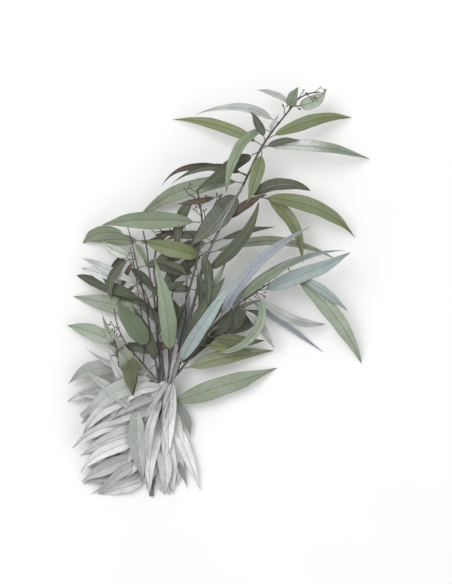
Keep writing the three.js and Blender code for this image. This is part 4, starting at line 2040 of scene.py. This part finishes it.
@dataclass(frozen=True)
class Spray:
    """Short forked twiglets near a twig's end, with flower buds at their tips. Millimetres."""

    name: str
    twig: str
    at: tuple[float, float]
    count: int
    long: float
    buds: int = 2
    spread: float = 0.75
    seed: int = 3

    # The twiglets: how far their feet slip along the twig, how they lean, and their lengths and radius.
    SLIP, SIDEWAYS, UPWARDS, LENGTHS = (-0.25, 0.25), (0.8, 1.5), (-0.1, 0.35), (0.6, 1.1)
    DEPTH, TWIGLET_RADIUS, STALK_RADIUS = 0.3 * MM, 0.55, 0.36

    # The buds' stalks: where they start, how they lean to either side, and how long they are.
    FIRST_STALK, STALK_GAP, BEHIND = 0.98, 0.22, 0.9
    LEANS, STALK_UPWARDS, STALK_LEAN = (-0.7, 0.5), (-0.2, 0.5), (0.7, 1.4)
    STALK_SHARE, STALK_LEAST = 0.28, 1.5 * MM
    AIM_AT, BUD_DEPTH, BUD_SIZES = 0.95, 0.2 * MM, (0.75, 1.15)

    def grown(self, twigs: dict[str, Twig]) -> tuple[list[Twig], list[Array]]:
        """Grows the spray.

        Args:
            twigs: The twigs by name.

        Returns:
            The twiglets and stalks, and for each bud its foot, the way that it points and its size.
        """
        chance = np.random.default_rng(self.seed)
        twig = twigs[self.twig]
        first, last = self.at
        wood, buds = [], []
        for i in range(self.count):
            at = first + (last - first) * (i + chance.uniform(*self.SLIP)) / max(self.count - 1, 1)
            along = twig.path.along(at * MM)
            side = unit(np.cross(along, UP)) * (1 if i % 2 else -1)
            aside = side * self.spread * chance.uniform(*self.SIDEWAYS)
            way = unit(along + aside + UP * chance.uniform(*self.UPWARDS))
            foot = twig.foot_beside(at * MM, way, self.DEPTH)
            long = self.long * chance.uniform(*self.LENGTHS) * MM
            fork = Twig.bent(f"{self.name}_{i + 1}", foot, way, long, self.TWIGLET_RADIUS * MM, chance)
            wood.append(fork)
            for k in range(self.buds):
                stalk = self._stalk(fork, k, side, long, chance)
                wood.append(stalk)
                aim = stalk.path.along(stalk.path.length * self.AIM_AT)
                tip = stalk.path.points[-1] - aim * self.BUD_DEPTH
                buds.append(np.concatenate((tip, aim, (chance.uniform(*self.BUD_SIZES), 0, 0))))
        return wood, buds

    def _stalk(self, fork: Twig, k: int, side: Array, long: float, chance: np.random.Generator) -> Twig:
        """Grows the stalk of one bud.

        Args:
            fork: The twiglet that carries it.
            k: Its place in the order of the twiglet's buds.
            side: The direction to the twiglet's side.
            long: The twiglet's length.
            chance: The source of chance.

        Returns:
            The stalk.
        """
        lean = side * self.LEANS[k % 2] + UP * chance.uniform(*self.STALK_UPWARDS)
        before = fork.path.along(fork.path.length * self.BEHIND)
        way = unit(before + lean * chance.uniform(*self.STALK_LEAN))
        start = fork.path.place(fork.path.length * (self.FIRST_STALK - self.STALK_GAP * k))
        length = self.STALK_SHARE * long + self.STALK_LEAST
        return Twig.bent(f"{fork.name}_{k + 1}", start, way, length, self.STALK_RADIUS * MM, chance)


SPRAYS = (
    Spray("silver_spray", "silver_twig", (112, 219), 8, 9, seed=5),
    Spray("crown_spray", "main_stem", (540, 590), 5, 9, seed=8),
    Spray("shoulder_spray", "shoulder_twig", (236, 262), 3, 13, spread=1.1, seed=2),
    Spray("side_spray", "shoulder_side", (12, 66), 6, 8, spread=1.2, seed=6),
    Spray("fork_spray", "shoulder_fork", (12, 44), 3, 7, seed=9),
    Spray("outer_spray", "outer_rib", (72, 112), 7, 5, seed=12),
)


@dataclass(frozen=True)
class Wisp:
    """Fine bark fibres that have come off a twig, and span the leaves beside it. Millimetres.

    They part from the twig at the first of "at" and run to the second. "rise" is how high they arch over
    the twig, and "spread" how far they stray from it at their loose ends.
    """

    name: str
    finish: FibreFinish
    twig: str
    at: tuple[float, float]
    count: int
    rise: float
    spread: float
    aside: float = 0.0
    radius: float = 0.4
    seed: int = 4

    POINTS = 48
    SLIP, SWAY, SWAY_PHASE, SWAY_TURNS = (-18, 18), (0.6, 1.8), (0, 6), 11
    SWAYS_BY, STRAYS_BY = (0.0, 0.2), (0.0, 0.7)
    RISES, TAPER = (0.94, 1.06), 0.5

    def grown(self, twigs: dict[str, Twig]) -> list[Twig]:
        """Grows the fibres.

        Args:
            twigs: The twigs by name.

        Returns:
            The fibres.
        """
        chance = np.random.default_rng(self.seed)
        twig = twigs[self.twig]
        share = np.linspace(0, 1, self.POINTS)
        fibres = []
        for i in range(self.count):
            start, end = (at + chance.uniform(*self.SLIP) for at in self.at)
            stray = self.spread * chance.uniform(-1, 1)
            sway, phase = chance.uniform(*self.SWAY), chance.uniform(*self.SWAY_PHASE)
            reach = (start + (end - start) * share) * MM
            line = np.array([twig.path.place(at) for at in reach])
            side = unit(np.cross(twig.path.along(float(reach[len(reach) // 2])), UP))
            drift = (self.aside + stray) * smooth(share, *self.STRAYS_BY)
            drift += sway * np.sin(share * self.SWAY_TURNS + phase) * smooth(share, *self.SWAYS_BY)
            lift = self.rise * chance.uniform(*self.RISES) * np.sin(np.pi * share)
            line += (side * drift[:, None] + UP * lift[:, None]) * MM
            radii = np.linspace(self.radius, self.TAPER * self.radius, self.POINTS) * MM
            fibres.append(Twig(f"{self.name}_{i + 1}", Path(line), radii))
        return fibres


WISPS = (
    # Pale fibres over the leaf along the main stem stand in for the stem there: partly its pale bark, partly
    # painted highlight.
    Wisp(
        "stem_fibres", FibreFinish("pale_fibre", colour("cbcccd"), colour("8d8f91")),
        "main_stem", (432, 290), 5, 33, 9, -5, radius=0.22, seed=7,
    ),
    Wisp(
        "foot_fibres", FibreFinish("grey_fibre", colour("a8a6a6"), colour("7d7a79")),
        "main_stem", (200, 58), 16, 19, 15, radius=0.32, seed=9,
    ),
)


@dataclass
class Buds:
    """Makes flower buds: a small cup on a stalk, closed by a pointed cap."""

    long: float = 4.2 * MM
    wide: float = 2.3 * MM
    segments: int = 10
    rings: int = 9
    waist: float = 0.16

    # How a unit ball is shaped: the swelling off its waist, its narrow foot, and its drawn point.
    SWELLS, WIDENS = Slope(0.0, 1.0, 0.12), Slope(-1.6, -0.1)
    DRAWN_OUT, POINT = Slope(0.2, 1.0), Span(1.0, 1.35)

    def __post_init__(self) -> None:
        """Builds the growing tree and the finish."""
        self.finish = BudFinish().make()
        sizes = {"Long": self.long, "Wide": self.wide, "Segments": self.segments, "Rings": self.rings}
        tree, given = growing_tree("flower_buds", sizes)
        inputs = {"Segments": given["Segments"], "Rings": given["Rings"], "Radius": 1.0}
        ball = tree.add("GeometryNodeMeshUVSphere", inputs=inputs)
        x, y, z = tree.add("GeometryNodeInputPosition").parts()
        ball = tree.store(ball, "bud", tree.join(x, y, z))
        seam = 1.0 + self.SWELLS.up((z / self.waist).of("ABSOLUTE"))
        girth = given["Wide"] * 0.5 * self.WIDENS.up(z) * seam
        point = self.POINT.at(self.DRAWN_OUT.up(z))
        place = tree.join(x * girth, y * girth, (z * point + 1.0) * given["Long"] * 0.5)
        bud = tree.add("GeometryNodeSetPosition", inputs={"Geometry": ball, "Position": place})
        aim = tree.add("FunctionNodeAlignRotationToVector", {"axis": "Z"}, {"Vector": tree.stored("aim")})
        size, _, _ = tree.stored("size").parts()
        inputs = {"Points": given["Line"], "Instance": bud, "Rotation": aim}
        inputs |= {"Scale": tree.join(size, size, size)}
        buds = tree.add("GeometryNodeInstanceOnPoints", inputs=inputs)
        self.tree = end_tree(tree, buds, given["Finish"])

    def build(self, name: str, rows: Sequence[Array]) -> bpy.types.Object:
        """Makes the buds of one spray.

        Args:
            name: The piece's name.
            rows: For each bud its foot, the way that it points and its size.

        Returns:
            The piece.
        """
        table = np.array(rows)
        line = new_line([table[:, :3]], {"aim": table[:, 3:6], "size": table[:, 6:9]})
        piece = grow(name, line, self.tree, {"Finish": self.finish})
        set_on_body(piece)
        return piece


# ---------------------------------------------------------------------------------------------------------
# The studio.


@dataclass(frozen=True)
class Lamp:
    """A square soft light that faces the sprig. Metres and watts."""

    name: str
    place: tuple[float, float, float]
    size: float
    power: float

    def hang(self) -> None:
        """Hangs the light in the scene."""
        light = bpy.data.lights.new(self.name, "AREA")
        light.size = self.size
        light.energy = self.power
        lamp = in_scene(self.name, light)
        lamp.location = self.place
        lamp.rotation_euler = (-lamp.location).to_track_quat("-Z", "Y").to_euler()


@dataclass
class Studio:
    """A pale floor, soft light and a camera that looks straight down.

    Metres, but the camera's lens and sensor in millimetres. "sight" is how far the camera sees.
    """

    floor_size: float = 12.0
    lamps: tuple[Lamp, ...] = (
        Lamp("key_light", (-1.1, 0.9, 2.6), 1.6, 40.0),
        Lamp("fill_light", (1.6, -0.7, 2.2), 2.0, 12.0),
    )
    daylight: float = 0.62
    lens: float = 100.0
    sensor: float = 36.0
    sight: float = 20.0
    view_height: float = 0.7592
    view_centre: tuple[float, float] = (0.0098, 0.0028)
    focus_height: float = 0.045

    def build(self) -> None:
        """Sets up the floor, the lights and the camera."""
        self._floor()
        for lamp in self.lamps:
            lamp.hang()
        self._sky()
        self._camera()
        bpy.context.scene.view_settings.view_transform = "Standard"

    def _floor(self) -> None:
        """Lays the floor just under the sprig."""
        half = self.floor_size / 2
        mesh = bpy.data.meshes.new("floor")
        corners = [(-half, -half, 0), (half, -half, 0), (half, half, 0), (-half, half, 0)]
        mesh.from_pydata(corners, [], [(0, 1, 2, 3)])
        mesh.materials.append(FloorFinish().make())
        floor = in_scene("floor", mesh)

    def _sky(self) -> None:
        """Fills the room with even white light."""
        world = bpy.data.worlds.new("room")
        world.use_nodes = True
        world.node_tree.nodes.clear()
        tree = Tree(world.node_tree)
        white = colour("ffffff")
        glow = tree.add("ShaderNodeBackground", inputs={"Color": white, "Strength": self.daylight})
        tree.add("ShaderNodeOutputWorld", inputs={"Surface": glow})
        bpy.context.scene.world = world

    def _camera(self) -> None:
        """Hangs the camera over the sprig, with +Y up in its picture."""
        data = bpy.data.cameras.new("camera")
        data.lens = self.lens
        data.sensor_width = self.sensor
        data.clip_end = self.sight
        camera = in_scene("camera", data)
        distance = self.view_height * self.lens / self.sensor
        camera.location = (*self.view_centre, self.focus_height + distance)
        bpy.context.scene.camera = camera


def main() -> None:
    """Builds the sprig and its studio."""
    logging.basicConfig(level=logging.INFO, format="%(name)s: %(message)s")
    skeleton = Skeleton()
    foliage = Foliage()
    woodwork = Woodwork()
    blades = skeleton.leaves()
    skeleton.root_twigs()
    sprouts = {sprout.name: sprout.grown(skeleton.origin) for sprout in SPROUTS}
    twigs = skeleton.twigs | sprouts
    blades += small_leaves(twigs)
    sprays = {spray.name: spray.grown(twigs) for spray in SPRAYS}
    for blade in blades:
        foliage.build(blade)
    for name, twig in skeleton.twigs.items():
        woodwork.build(f"{name}_wood", [twig], node=name)
    for name, twig in sprouts.items():
        woodwork.build(f"{name}_wood", [twig])
    buds = Buds()
    for name, (forks, rows) in sprays.items():
        woodwork.build(f"{name}_twiglets", forks)
        buds.build(f"{name}_buds", rows)
    for wisp in WISPS:
        woodwork.build(wisp.name, wisp.grown(skeleton.twigs), finish=wisp.finish.make())
    CutEnd(skeleton.twigs["main_stem"]).build()
    Studio().build()


if __name__ == "__main__":
    main()
